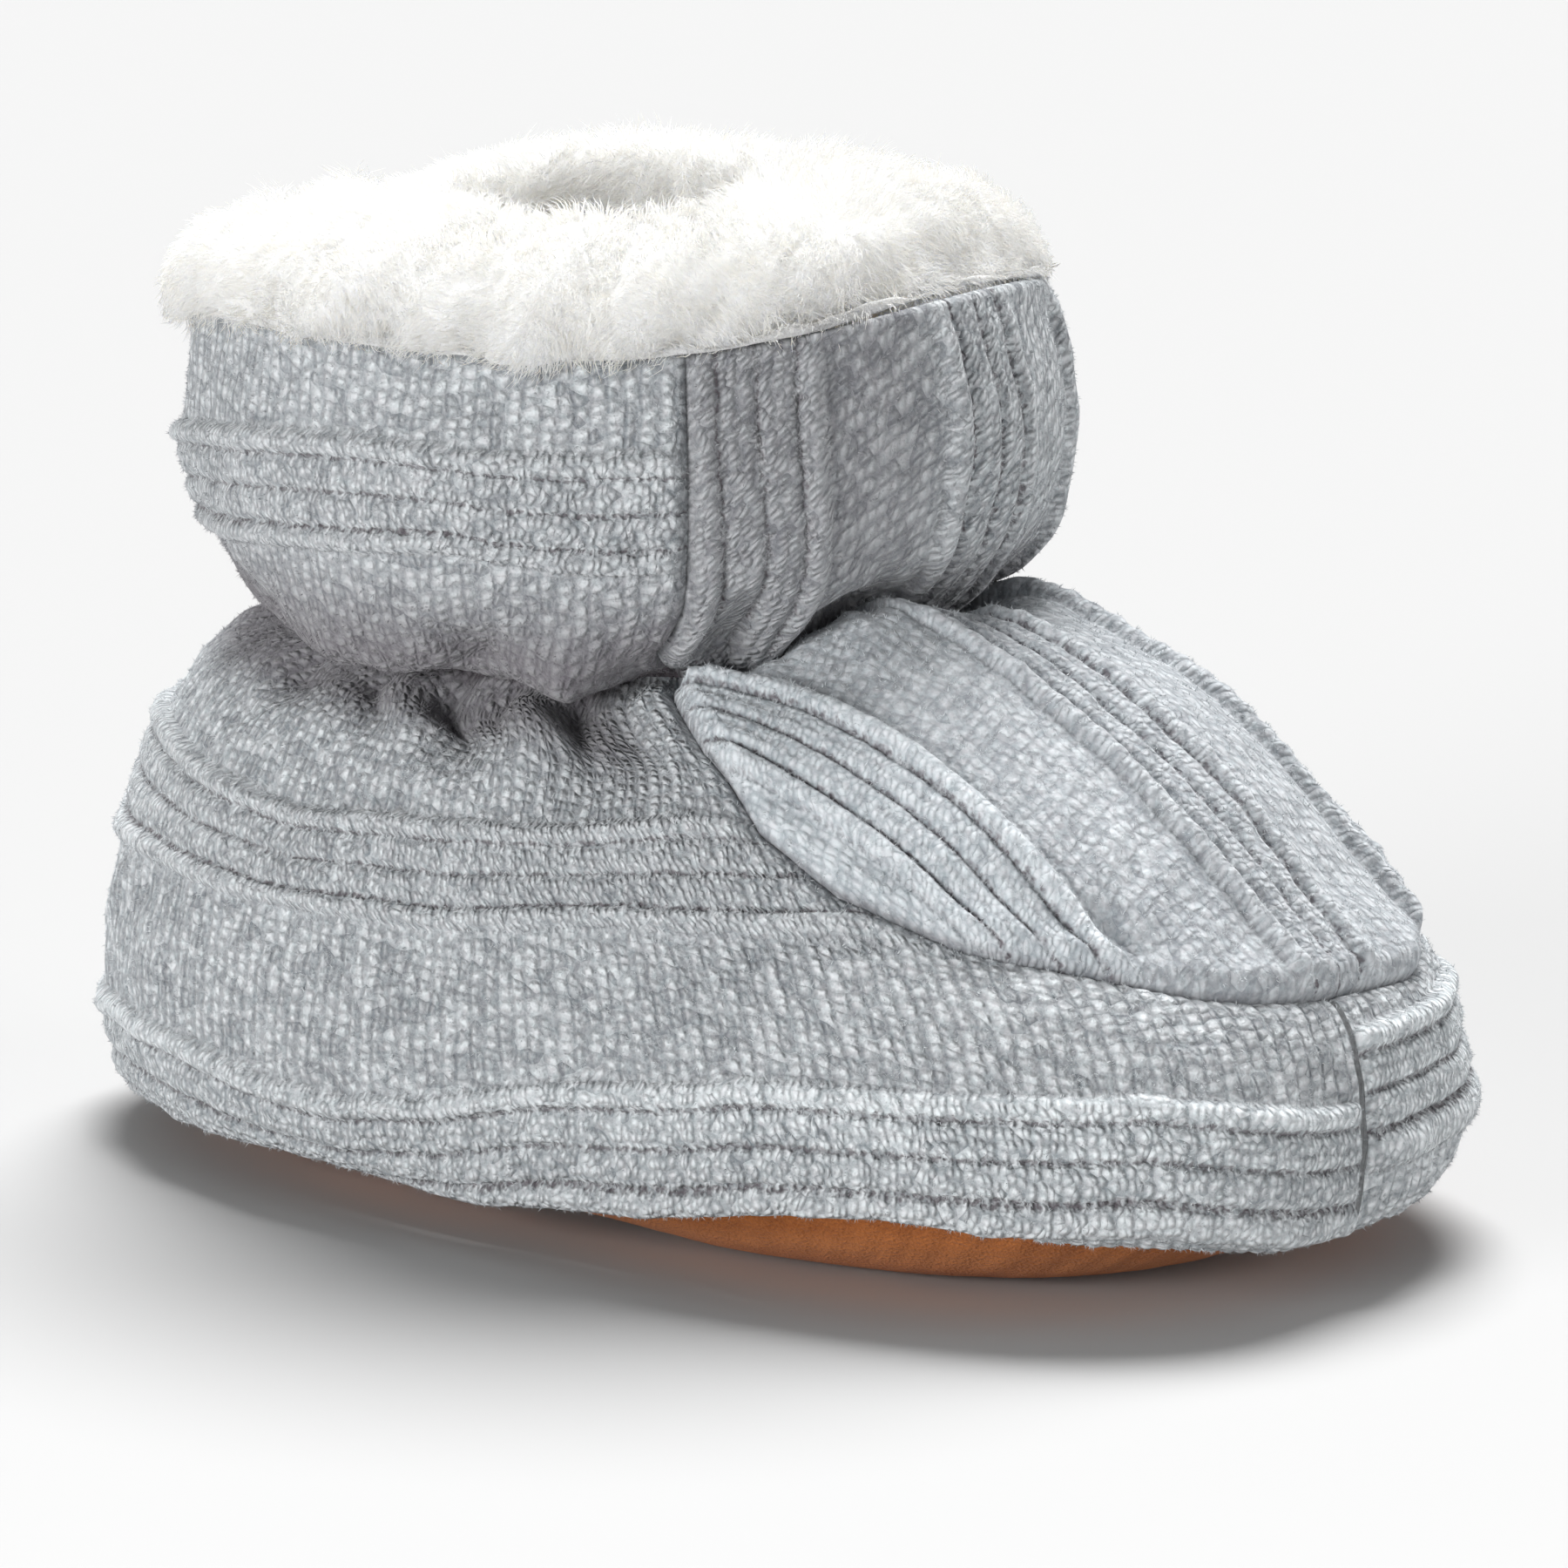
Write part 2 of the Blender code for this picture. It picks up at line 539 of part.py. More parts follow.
def make_plush_cuff():
    """The plush roll over the rim and its lining inside the shaft, with locks drawn out of it."""
    angles = even_angles(CUFF_COLUMNS)
    edge, level = rim_frame(angles)
    forward = 0.5 + 0.5 * np.cos(angles)
    hang = 1.0 - 0.85 * forward ** 2
    overhang = PLUSH_OVERHANG * hang
    lengths = {"overhang": overhang, "width": PLUSH_WIDTH, "height": PLUSH_HEIGHT}
    up = np.array([0.0, 0.0, 1.0])
    loops = [
        cuff_lining(angles, 0.96, FIT_GAP * 2.4),
        cuff_lining(angles, 0.50, FIT_GAP * 2.0),
        cuff_lining(angles, 0.0, FIT_GAP * 1.6) + up * FIT_GAP * 1.6,
    ]
    for name, out_length, out_share, up_length, up_share in CUFF_SECTION:
        out = lengths[out_length] * out_share
        if out_length == "width":
            out = out - 0.5 * WALL
        lift = lengths[up_length] * up_share + FIT_GAP
        if name in SAG_CLEARANCE:
            clear = FIT_GAP * SAG_CLEARANCE[name]
            sagging = (2.0 * hang - 1.0).clip(0.0, 1.0)
            out = np.maximum(out, clear)
            lift = lift * sagging + clear * (1.0 - sagging)
        out = out - PLUSH_FRONT_LEAN * forward ** 2 * min(1.0, max(0.0, up_share))
        lift = np.broadcast_to(lift, angles.shape)
        loops.append(edge + level * out[:, None] + up * lift[:, None])
    loops.append(cuff_lining(angles, 0.55, LINING_THICKNESS))
    loops.append(cuff_lining(angles, 0.92, LINING_THICKNESS * 0.9))
    loops.append(cuff_lining(angles, 1.04, LINING_THICKNESS * 0.5))
    points = np.stack(loops)
    points = draw_locks(points, first=6, last=13)
    faces = tube_faces(len(loops), len(angles))
    return make_object("plush_cuff", points.reshape(-1, 3), faces, PLUSH_COLOUR, 1.0)


def draw_locks(points, first, last):
    """Draw tufts of plush out of the roll, each leaning the way that the pile is combed."""
    draw = np.random.default_rng(LOCK_SEED)
    loops, columns, _ = points.shape
    centre = points[first:last + 1].mean(axis=0)
    moved = points.copy()
    for _ in range(LOCK_COUNT):
        loop = int(draw.integers(first, last + 1))
        column = int(draw.integers(0, columns))
        length = LOCK_LENGTH * draw.uniform(0.35, 1.0)
        comb = int(draw.choice((-1, 1)))
        for side, share in ((0, 1.0), (comb, 0.45)):
            place = (column + side) % columns
            away = points[loop, place] - centre[place]
            away = away / np.linalg.norm(away)
            moved[loop, place] += away * length * share
    return moved


def main():
    for item in list(bpy.data.objects):
        bpy.data.objects.remove(item, do_unlink=True)
    make_outsole()
    make_insole()
    make_upper()
    make_plush_cuff()


main()
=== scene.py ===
import math

import bpy
import numpy as np
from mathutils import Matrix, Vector, kdtree


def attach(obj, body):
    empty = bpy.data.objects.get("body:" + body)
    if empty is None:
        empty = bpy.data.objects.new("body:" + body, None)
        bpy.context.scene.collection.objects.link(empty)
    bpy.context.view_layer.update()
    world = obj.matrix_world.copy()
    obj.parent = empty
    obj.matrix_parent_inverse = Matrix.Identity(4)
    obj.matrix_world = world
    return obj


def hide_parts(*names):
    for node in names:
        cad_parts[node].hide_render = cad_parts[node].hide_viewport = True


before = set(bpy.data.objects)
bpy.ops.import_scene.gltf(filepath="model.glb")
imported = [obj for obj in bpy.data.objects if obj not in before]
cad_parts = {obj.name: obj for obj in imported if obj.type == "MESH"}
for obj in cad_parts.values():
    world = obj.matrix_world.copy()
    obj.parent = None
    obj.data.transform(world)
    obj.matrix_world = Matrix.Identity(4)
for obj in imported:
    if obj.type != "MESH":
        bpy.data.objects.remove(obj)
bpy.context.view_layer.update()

MM = 0.001
TAU = 2.0 * math.pi
ROW_STEP = 0.02
ANGLE_STEP = 0.02

# Sizes of the shoe, in metres, as its solids have them
LENGTH = 0.1266
BALL_WIDTH = 0.0750
INSTEP_HEIGHT = 0.0520
TOE_LEAN = 0.0045
COLLAR_LENGTH = 0.0770
COLLAR_WIDTH = 0.0640
COLLAR_SETBACK = 0.0140
SHAFT_HEIGHT = 0.0250
WALL = 0.0025
FIT_GAP = 0.0003
SOLE_THICKNESS = 0.0036
SOLE_EDGE_HEIGHT = 0.0032
SOLE_EDGE_LIFT = 0.0033
SOLE_EDGE_CENTRE = 0.0360
SOLE_EDGE_SPREAD = 0.0240
ARCH_LIFT = 0.0010
ARCH_CENTRE = -0.0020
ARCH_HALF_LENGTH = 0.0150
SOLE_FLAT_SHARE = 0.66
SOLE_ROUNDING = 2.2
INSOLE_THICKNESS = 0.0028
INSOLE_SIDE_GAP = 0.0013
BULGE_DROP = 0.0006
BULGE_OVERHANG = 0.0040
TOE_SEAM_ANGLE = math.radians(-1.0)
PLUSH_HEIGHT = 0.0088
PLUSH_WIDTH = 0.0115
PLUSH_OVERHANG = 0.0026
PLUSH_FRONT_LEAN = 0.0055
LINING_THICKNESS = 0.0042
LINING_DEPTH = 0.0145
SEAM_ANGLE = math.radians(72.0)

FOOT_COLUMNS = ("name", "z_toe", "z_side", "z_heel", "front", "back", "half_width", "widest",
                "toe_power", "heel_power", "seam_degrees", "rise_power", "inset", "drop")
FOOT_SECTIONS = (
    ("bulge", 0.240, 0.264, 0.220, 0.500, -0.500, 0.500, 0.047, 2.55, 2.25, 72, 1.6, 1.00, 0.00),
    ("wall", 0.437, 0.440, 0.440, 0.481, -0.495, 0.480, 0.032, 2.45, 2.20, 72, 1.6, 1.00, -0.10),
    ("shoulder", 0.588, 0.646, 0.646, 0.417, -0.472, 0.433, 0.000, 2.35, 2.10, 72, 1.6, 0.90, -0.50),
    ("dome", 0.815, 0.798, 0.788, 0.313, -0.432, 0.380, -0.047, 2.25, 2.00, 68, 1.6, 0.80, -0.75),
)
SHAFT_SECTIONS = (
    ("instep", -0.035, -0.320, -0.320, 0.480, -0.452, 0.378, 0.0, 2.10, 2.00, 60, 2.2, 0.90, -1.00),
    ("ankle", -0.180, -0.268, -0.288, 0.390, -0.377, 0.336, 0.0, 2.00, 2.00, 55, 1.8, 1.20, -0.50),
    ("droop", -0.040, -0.296, -0.248, 0.409, -0.426, 0.427, 0.0, 2.00, 2.00, 54, 1.1, 1.80, 0.90),
    ("flare", 0.200, -0.040, -0.020, 0.474, -0.480, 0.477, 0.0, 2.00, 2.00, 52, 2.5, 1.00, 0.30),
    ("shaft", 0.560, 0.400, 0.280, 0.494, -0.529, 0.508, 0.0, 2.00, 2.00, 51, 3.0, 1.00, 0.00),
    ("rim", 1.000, 0.852, 0.660, 0.461, -0.513, 0.492, 0.0, 2.00, 2.00, 50, 4.0, 1.00, 0.00),
)
ANKLE_ROW = 7.0
DROOP_ROW = 8.0
RIM_ROW = 11.0

APRON_SEAM = (
    (0.00, 3.26, 3.26),
    (0.22, 3.46, 3.13),
    (0.46, 3.68, 3.27),
    (0.68, 3.82, 3.52),
    (0.85, 4.08, 3.92),
    (0.95, 4.45, 4.40),
    (1.00, 5.20, 5.20),
)

# Gathers: angle from the toe, depth as a share of the wall, half width in degrees, first and last section
GATHERS = (
    (-81, 0.70, 4.5, 4.50, 6.60),
    (-99, 0.75, 5.0, 4.60, 6.60),
    (-124, 0.40, 6.0, 4.80, 6.60),
    (-90, -0.30, 5.0, 4.60, 6.20),
    (-158, 0.35, 7.0, 4.80, 6.60),
    (148, 0.50, 6.0, 4.80, 6.60),
    (116, 0.70, 5.0, 4.60, 6.60),
    (104, -0.30, 5.0, 4.60, 6.20),
    (88, 0.75, 5.0, 4.50, 6.60),
    (-97, 0.95, 4.5, 7.60, 9.00),
    (-84, -0.50, 4.0, 7.70, 9.20),
    (-60, 0.70, 5.0, 7.60, 9.20),
    (-135, 0.45, 7.0, 7.60, 9.10),
    (140, 0.45, 7.0, 7.60, 9.10),
    (100, 0.60, 5.0, 7.60, 9.00),
    (60, 0.45, 5.0, 7.60, 9.20),
)

CUFF_SECTION = (
    ("rim_outer", "overhang", 0.10, "height", 0.03),
    ("sag_inner", "overhang", 0.40, "height", -0.07),
    ("sag_outer", "overhang", 0.85, "height", 0.02),
    ("cheek", "overhang", 1.00, "height", 0.34),
    ("shoulder_outer", "overhang", 0.50, "height", 0.68),
    ("crown_outer", "width", -0.14, "height", 0.92),
    ("crown", "width", -0.44, "height", 1.00),
    ("crown_inner", "width", -0.78, "height", 0.88),
    ("shoulder_inner", "width", -1.02, "height", 0.56),
    ("belly", "width", -1.12, "height", 0.12),
    ("chin", "width", -1.04, "height", -0.36),
)
SAG_CLEARANCE = {"sag_inner": 1.2, "sag_outer": 2.4}

# Sharp creases over the gathers: angle in degrees, depth in mm, half width in degrees, first and last
# section, and drift in degrees per section
CREASES = (
    (-104.5, 2.3, 2.3, 4.55, 7.2, -2.0),
    (-84.5, 2.4, 2.2, 4.50, 7.2, 1.0),
    (-94.0, 1.2, 1.8, 4.90, 7.2, 0.5),
    (-118.0, 2.0, 2.4, 4.80, 7.2, -3.0),
    (-133.0, 1.5, 2.6, 4.90, 7.2, -3.0),
    (-77.0, 0.80, 1.6, 5.00, 7.2, 1.5),
    (-150.0, 0.60, 2.6, 5.00, 7.2, -2.0),
    (170.0, 0.70, 2.6, 4.90, 7.2, 1.0),
    (152.0, 0.90, 2.4, 4.80, 7.2, 2.0),
    (132.0, 1.00, 2.2, 4.80, 7.2, 2.0),
    (112.0, 1.20, 2.0, 4.60, 7.2, 1.0),
    (93.0, 1.20, 1.9, 4.60, 7.2, -1.0),
    (80.0, 0.60, 1.7, 4.90, 7.2, -1.0),
)

# How far the lower edge of the knit and the sole's rim rise, in mm, by angle
EDGE_RISE = ((-180, 1.5), (-150, 1.7), (-135, 2.6), (-120, 2.9), (-105, 2.5), (-84, 1.8), (-66, 1.8),
             (-45, 2.2), (-25, 2.1), (-6, 1.2), (10, 0.8), (40, 1.6), (66, 1.8), (105, 2.0), (135, 2.2),
             (180, 1.5))

# How far the apron's top swells up under the shaft, in mm, by angle
APRON_LIFT = ((-72, 0.0), (-60, -0.4), (-50, 0.0), (-42, 1.6), (-34, 2.6), (-26, 2.0), (-16, 0.0),
              (-6, -1.7), (5, -2.4), (20, -2.1), (35, -0.7), (50, 0.0), (72, 0.0))
# How far the shaft's lower end is drawn in, in mm, by angle
DRAWN_IN = ((-180, 0.0), (-62, 0.0), (-34, 0.8), (-12, 2.2), (10, 3.2), (40, 3.4), (64, 2.2), (90, 0.8),
            (115, 0.0), (180, 0.0))

# How far the shaft's hem rises above its fold, in mm, by angle: the low places are its lobes
HEM = ((-180, 0.8), (-160, 0.2), (-140, 0.4), (-124, 0.0), (-116, 0.4), (-109, 0.4), (-104, 1.5),
       (-99, 0.7), (-93, 0.4), (-88, -0.9), (-84, -1.6), (-80, -1.0), (-75, 0.3), (-66, -0.4), (-58, -1.3),
       (-50, -1.7), (-45, -1.0), (-40, 1.0), (-34, 3.0), (-28, 2.8), (-18, 0.6), (-8, -1.6), (4, -2.4),
       (20, -2.2), (35, -0.7), (60, 0.4), (75, 1.2), (84, 0.0), (93, 2.0), (102, 2.6), (112, 0.6),
       (124, 0.0), (136, 1.6), (150, 0.2), (166, 0.9), (180, 0.8))

# The knit is in millimetres from here on.
# Ribs of one group, from its top edge down: middle, half width and height
RIBS = (
    (0.95, 0.98, 1.15),
    (3.24, 1.36, 0.72),
    (6.02, 1.36, 0.72),
    (8.38, 0.95, 1.05),
)
# Shallow line along the middle of the two broad ribs
CREASE_DEPTH = 0.16
CREASE_HALF_WIDTH = 0.32
FIRST_RIB = 0.95
LAST_RIB = 8.35
LAST_GROOVE = 7.40
GROUP_SPAN = 9.30
# Grooves of one group: place and how dark their painted shade is
GROOVES = ((-0.05, 0.35), (1.90, 0.9), (3.22, 0.25), (4.62, 0.9), (6.02, 0.25), (7.42, 1.0), (9.35, 0.45))
GROOVE_HALF_WIDTH = 0.36
WALE = 1.46
TUFT = 0.98
RIB_TUFT = 0.72
KNIT_DARK = (0.245, 0.270, 0.286, 1.0)
KNIT_LIGHT = (0.850, 0.880, 0.887, 1.0)
APRON_DARK = (0.330, 0.360, 0.382, 1.0)
APRON_LIGHT = (0.715, 0.745, 0.760, 1.0)
# Painted shade: how far each part of the knit is darkened towards the shade colour, from 0 to 1
BACK_SHADE = 0.74
FOLD_SHADE = 0.24
LOW_SHADE = 0.13
APRON_FOLD_SHADE = 0.60
SHAFT_SHADE = 0.22
SHAFT_LOW_SHADE = 0.56
SHAFT_FOLD_SHADE = 0.20
SHAFT_FRONT_SHADE = 0.08
SHAFT_NEAR_SHADE = 0.44
FUZZ_DARK = (0.38, 0.405, 0.425, 1.0)
FUZZ_LIGHT = (0.80, 0.83, 0.85, 1.0)
# Painted shade colour for the grooves, the seams and under the shaft, and the two casts of the yarn
KNIT_PAINTED_SHADE = (0.085, 0.066, 0.078, 1.0)
TINT_COOL = (0.86, 0.98, 1.0, 1.0)
TINT_WARM = (1.0, 0.93, 0.97, 1.0)
PLUSH_WARM = (0.960, 0.935, 0.870, 1.0)
PLUSH_LIGHT = (0.995, 0.990, 0.965, 1.0)
SUEDE_DARK = (0.30, 0.082, 0.020, 1.0)
SUEDE_LIGHT = (0.62, 0.215, 0.062, 1.0)
SUEDE_WORN = (0.50, 0.21, 0.080, 1.0)
# Floor colour, painted lighter on its near part to even out the shade that falls there
FLOOR_FAR = (0.512, 0.512, 0.512, 1.0)
FLOOR_NEAR = (0.540, 0.540, 0.540, 1.0)
RIB_STRAND = 0.98
FAR_OFF = -4.0

# Lines of the rib groups: angle in degrees from the toe, and the section that the line passes there
LOW_TOP = ((-180, 1.90), (-144, 1.93), (-128, 1.86), (-116, 1.73), (-108, 1.70), (-99, 1.86), (-87, 2.25),
           (-76, 2.48), (-63, 2.58), (-33, 2.62), (-1.1, 2.32), (-0.9, 2.84), (30, 2.80), (60, 2.66),
           (87, 2.35), (100, 2.10), (125, 1.90), (147, 1.90), (180, 1.90))
MID_TOP = ((0, 5.00), (60, 4.60), (68, 4.45), (75, 4.42), (88, 4.15), (99, 4.05), (116, 3.90), (133, 3.98),
           (149, 4.12), (180, 4.15))
MID_BOTTOM = ((0, 4.10), (55, 3.90), (68, 3.78), (85, 3.62), (99, 3.40), (118, 3.30), (144, 3.30),
              (180, 3.30))
SHAFT_TOP = ((72, 10.25), (108, 10.28), (152, 10.05), (180, 10.00))
SHAFT_GROOVE = ((72, 9.60), (100, 9.73), (148, 9.43), (180, 9.38))

KNIT_SEED = 5
FUZZ_SEED = 23
PLUSH_SEED = 41
SOLE_SEED = 61
LINING_SEED = 77
FOOTBED_SEED = 91


def bell(distance, half_width):
    """A smooth bump of height 1 that has faded to about a third at half_width."""
    return np.exp(-(np.asarray(distance) / half_width) ** 2)


def smooth_step(value, low, high):
    """Rise from 0 at low to 1 at high with flat ends."""
    share = np.clip((np.asarray(value) - low) / (high - low), 0.0, 1.0)
    return share * share * (3.0 - 2.0 * share)


def turned(angles):
    """Angles brought to between minus and plus half a turn."""
    return (angles + math.pi) % TAU - math.pi


def unit(vectors):
    return vectors / np.maximum(np.linalg.norm(vectors, axis=-1, keepdims=True), 1e-12)


def frontness(angles):
    """1 at the toe's side of the collar and 0 at its back."""
    return 0.5 + 0.5 * np.cos(angles)


def table_at(table, degrees):
    """Value at an angle, read between the rows of a table of angles and values."""
    places, values = np.array(table).T
    return np.interp(degrees, places, values)


# The last is the same surface as the solids have.
def sole_edge_height(x):
    return SOLE_EDGE_HEIGHT + SOLE_EDGE_LIFT * bell(x - SOLE_EDGE_CENTRE, SOLE_EDGE_SPREAD)


def foot_section(row):
    values = dict(zip(FOOT_COLUMNS, row))
    for key in ("z_toe", "z_side", "z_heel"):
        values[key] *= INSTEP_HEIGHT
    for key in ("front", "back", "widest"):
        values[key] *= LENGTH
    values["half_width"] *= BALL_WIDTH
    return values


def shaft_section(row):
    values = dict(zip(FOOT_COLUMNS, row))
    for key in ("z_toe", "z_side", "z_heel"):
        values[key] = INSTEP_HEIGHT + SHAFT_HEIGHT * values[key]
    for key in ("front", "back"):
        values[key] = values[key] * COLLAR_LENGTH - COLLAR_SETBACK
    values["widest"] = -COLLAR_SETBACK
    values["half_width"] *= COLLAR_WIDTH
    return values


def edge_section(name, inward, drop):
    values = foot_section(FOOT_SECTIONS[0])
    values["name"] = name
    values["drop"] = drop
    values["front"] -= inward
    values["back"] += inward
    values["half_width"] -= inward
    return values


SECTIONS = [edge_section("feather", BULGE_OVERHANG + WALL, 0.0), edge_section("low", WALL * 0.8, 0.9)]
SECTIONS += [foot_section(row) for row in FOOT_SECTIONS]
SECTIONS += [shaft_section(row) for row in SHAFT_SECTIONS]


def section_loop(section, angles, inset):
    """Points of one section of the last at the angles, brought in by its share of the inset."""
    inward = inset * section["inset"]
    front = section["front"] - inward
    back = section["back"] + inward
    half_width = section["half_width"] - inward
    widest = section["widest"]
    signed = turned(angles)
    size = np.abs(signed)
    seam = math.radians(section["seam_degrees"])
    ahead = size * seam / SEAM_ANGLE
    behind = seam + (math.pi - seam) * (size - SEAM_ANGLE) / (math.pi - SEAM_ANGLE)
    phase = np.where(size < SEAM_ANGLE, ahead, behind) * np.sign(signed)
    along = np.cos(phase)
    across = np.sin(phase)
    power = np.where(along > 0.0, section["toe_power"], section["heel_power"])
    reach = np.abs(along) ** (2.0 / power)
    x = np.where(along > 0.0, widest + (front - widest) * reach, widest - (widest - back) * reach)
    y = half_width * np.sign(across) * np.abs(across) ** (2.0 / power)
    y = y - TOE_LEAN * np.clip(x / (0.5 * LENGTH), 0.0, None) ** 1.7
    if section["name"] == "feather":
        z = sole_edge_height(x)
    elif section["name"] == "low":
        z = sole_edge_height(x) + BULGE_DROP + 0.25 * SOLE_EDGE_LIFT * bell(x - SOLE_EDGE_CENTRE,
                                                                         SOLE_EDGE_SPREAD)
    else:
        end = np.where(along > 0.0, section["z_toe"], section["z_heel"]) - section["z_side"]
        z = section["z_side"] + end * np.abs(along) ** section["rise_power"]
    z = z + inset * section["drop"]
    return np.stack([x, y, z], axis=-1)


def surface(rows, angles, inset=0.0):
    """Points of the last: rows holds section numbers and its last axis runs along angles."""
    rows = np.asarray(rows, float)
    rows = np.broadcast_to(rows, np.broadcast_shapes(rows.shape, angles.shape))
    loops = np.stack([section_loop(section, angles, inset) for section in SECTIONS])
    last = len(SECTIONS) - 1
    lower = np.clip(np.floor(rows).astype(int), 0, last - 1)
    part = (rows - lower)[..., None]
    pick = np.arange(len(angles))
    p1 = loops[lower, pick]
    p2 = loops[lower + 1, pick]
    p0 = np.where((lower > 0)[..., None], loops[np.maximum(lower - 1, 0), pick], 2.0 * p1 - p2)
    p3 = np.where((lower < last - 1)[..., None], loops[np.minimum(lower + 2, last), pick], 2.0 * p2 - p1)
    linear = (p2 - p0) * part
    square = (2.0 * p0 - 5.0 * p1 + 4.0 * p2 - p3) * part ** 2
    cube = (3.0 * p1 - p0 - 3.0 * p2 + p3) * part ** 3
    return 0.5 * (2.0 * p1 + linear + square + cube)


def slopes(rows, angles, inset=0.0):
    """How far the surface moves per section number and per radian."""
    above = surface(rows + ROW_STEP, angles, inset)
    below = surface(rows - ROW_STEP, angles, inset)
    ahead = surface(rows, angles + ANGLE_STEP, inset)
    behind = surface(rows, angles - ANGLE_STEP, inset)
    return (above - below) / (2.0 * ROW_STEP), (ahead - behind) / (2.0 * ANGLE_STEP)


def outward(rows, angles, inset=0.0):
    along_rows, along_angles = slopes(rows, angles, inset)
    return unit(np.cross(along_angles, along_rows))


def apron_seam_row(angles):
    """Section that the apron seam passes at each angle."""
    share = np.abs(turned(angles)) / SEAM_ANGLE
    steps, right, left = np.array(APRON_SEAM).T
    on_right = turned(angles) < 0.0
    return np.where(on_right, np.interp(share, steps, right), np.interp(share, steps, left))


def gather_relief(rows, angles):
    """Offset of the surface in the gathers that the solids have too, in metres, below 0 inwards."""
    total = np.zeros(np.broadcast_shapes(np.shape(rows), np.shape(angles)))
    for degrees, depth, half_width, first, last in GATHERS:
        turn = turned(angles - math.radians(degrees))
        run = np.clip(1.0 - ((rows - 0.5 * (first + last)) / (0.5 * (last - first))) ** 2, 0.0, 1.0)
        total = total - depth * WALL * bell(turn, math.radians(half_width)) * run
    return total


def wander(points, length, seed, count=9):
    """Smooth random values between about -1 and 1 that change over the given length."""
    draw = np.random.default_rng(seed)
    total = np.zeros(points.shape[:-1])
    for _ in range(count):
        axis = draw.normal(size=3)
        axis = axis / np.linalg.norm(axis) * draw.uniform(0.6, 1.4) * TAU / length
        total = total + np.sin(points @ axis + draw.uniform(0.0, TAU))
    return total / math.sqrt(0.5 * count) * 0.5


def quarter_round(distance, reach):
    """0 at a distance of 0 and 1 at reach, steep first, as the edge of a pillow."""
    share = np.clip(distance / reach, 0.0, 1.0)
    return np.sqrt(1.0 - (1.0 - share) ** 2)


def rib_relief(across):
    """Height of one group's ribs, in metres, where across is in millimetres from its top edge."""
    total = np.zeros(np.shape(across))
    for middle, half_width, height in RIBS:
        share = np.clip(1.0 - ((across - middle) / half_width) ** 2, 0.0, 1.0)
        total = np.maximum(total, height * share ** 0.6)
    for middle, half_width, _ in RIBS[1:3]:
        total = total - CREASE_DEPTH * bell(across - middle, CREASE_HALF_WIDTH)
    return total * MM


def grid_normals(points, closed):
    if closed:
        across = np.roll(points, -1, axis=1) - np.roll(points, 1, axis=1)
    else:
        across = np.gradient(points, axis=1)
    return unit(np.cross(across, np.gradient(points, axis=0)))


def grid_quads(rows, columns, closed, start=0):
    across = columns if closed else columns - 1
    row, column = np.meshgrid(np.arange(rows - 1), np.arange(across), indexing="ij")
    beside = (column + 1) % columns
    quads = np.stack([row * columns + column, row * columns + beside, (row + 1) * columns + beside,
                      (row + 1) * columns + column], axis=-1)
    return quads.reshape(-1, 4) + start


def add_piece(name, points, faces, material, attributes=None, replaced=(), smooth=True):
    """Add one mesh of quads or triangles that rides on the shoe."""
    points = np.asarray(points, float).reshape(-1, 3)
    mesh = bpy.data.meshes.new(name)
    mesh.vertices.add(len(points))
    mesh.vertices.foreach_set("co", points.ravel())
    faces = [np.asarray(block) for block in (faces if isinstance(faces, list) else [faces])]
    corners = np.concatenate([block.ravel() for block in faces])
    sizes = np.concatenate([np.full(len(block), block.shape[1]) for block in faces])
    mesh.loops.add(len(corners))
    mesh.loops.foreach_set("vertex_index", corners.astype(np.int32))
    mesh.polygons.add(len(sizes))
    mesh.polygons.foreach_set("loop_start", np.concatenate([[0], np.cumsum(sizes)[:-1]]).astype(np.int32))
    mesh.polygons.foreach_set("loop_total", sizes.astype(np.int32))
    mesh.update(calc_edges=True)
    for key, values in (attributes or {}).items():
        layer = mesh.attributes.new(key, "FLOAT", "POINT")
        layer.data.foreach_set("value", np.asarray(values, np.float32).ravel())
    if smooth:
        mesh.shade_smooth()
    mesh.materials.append(material)
    piece = bpy.data.objects.new(name, mesh)
    bpy.context.scene.collection.objects.link(piece)
    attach(piece, "root")
    if replaced:
        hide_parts(*replaced)
    return piece


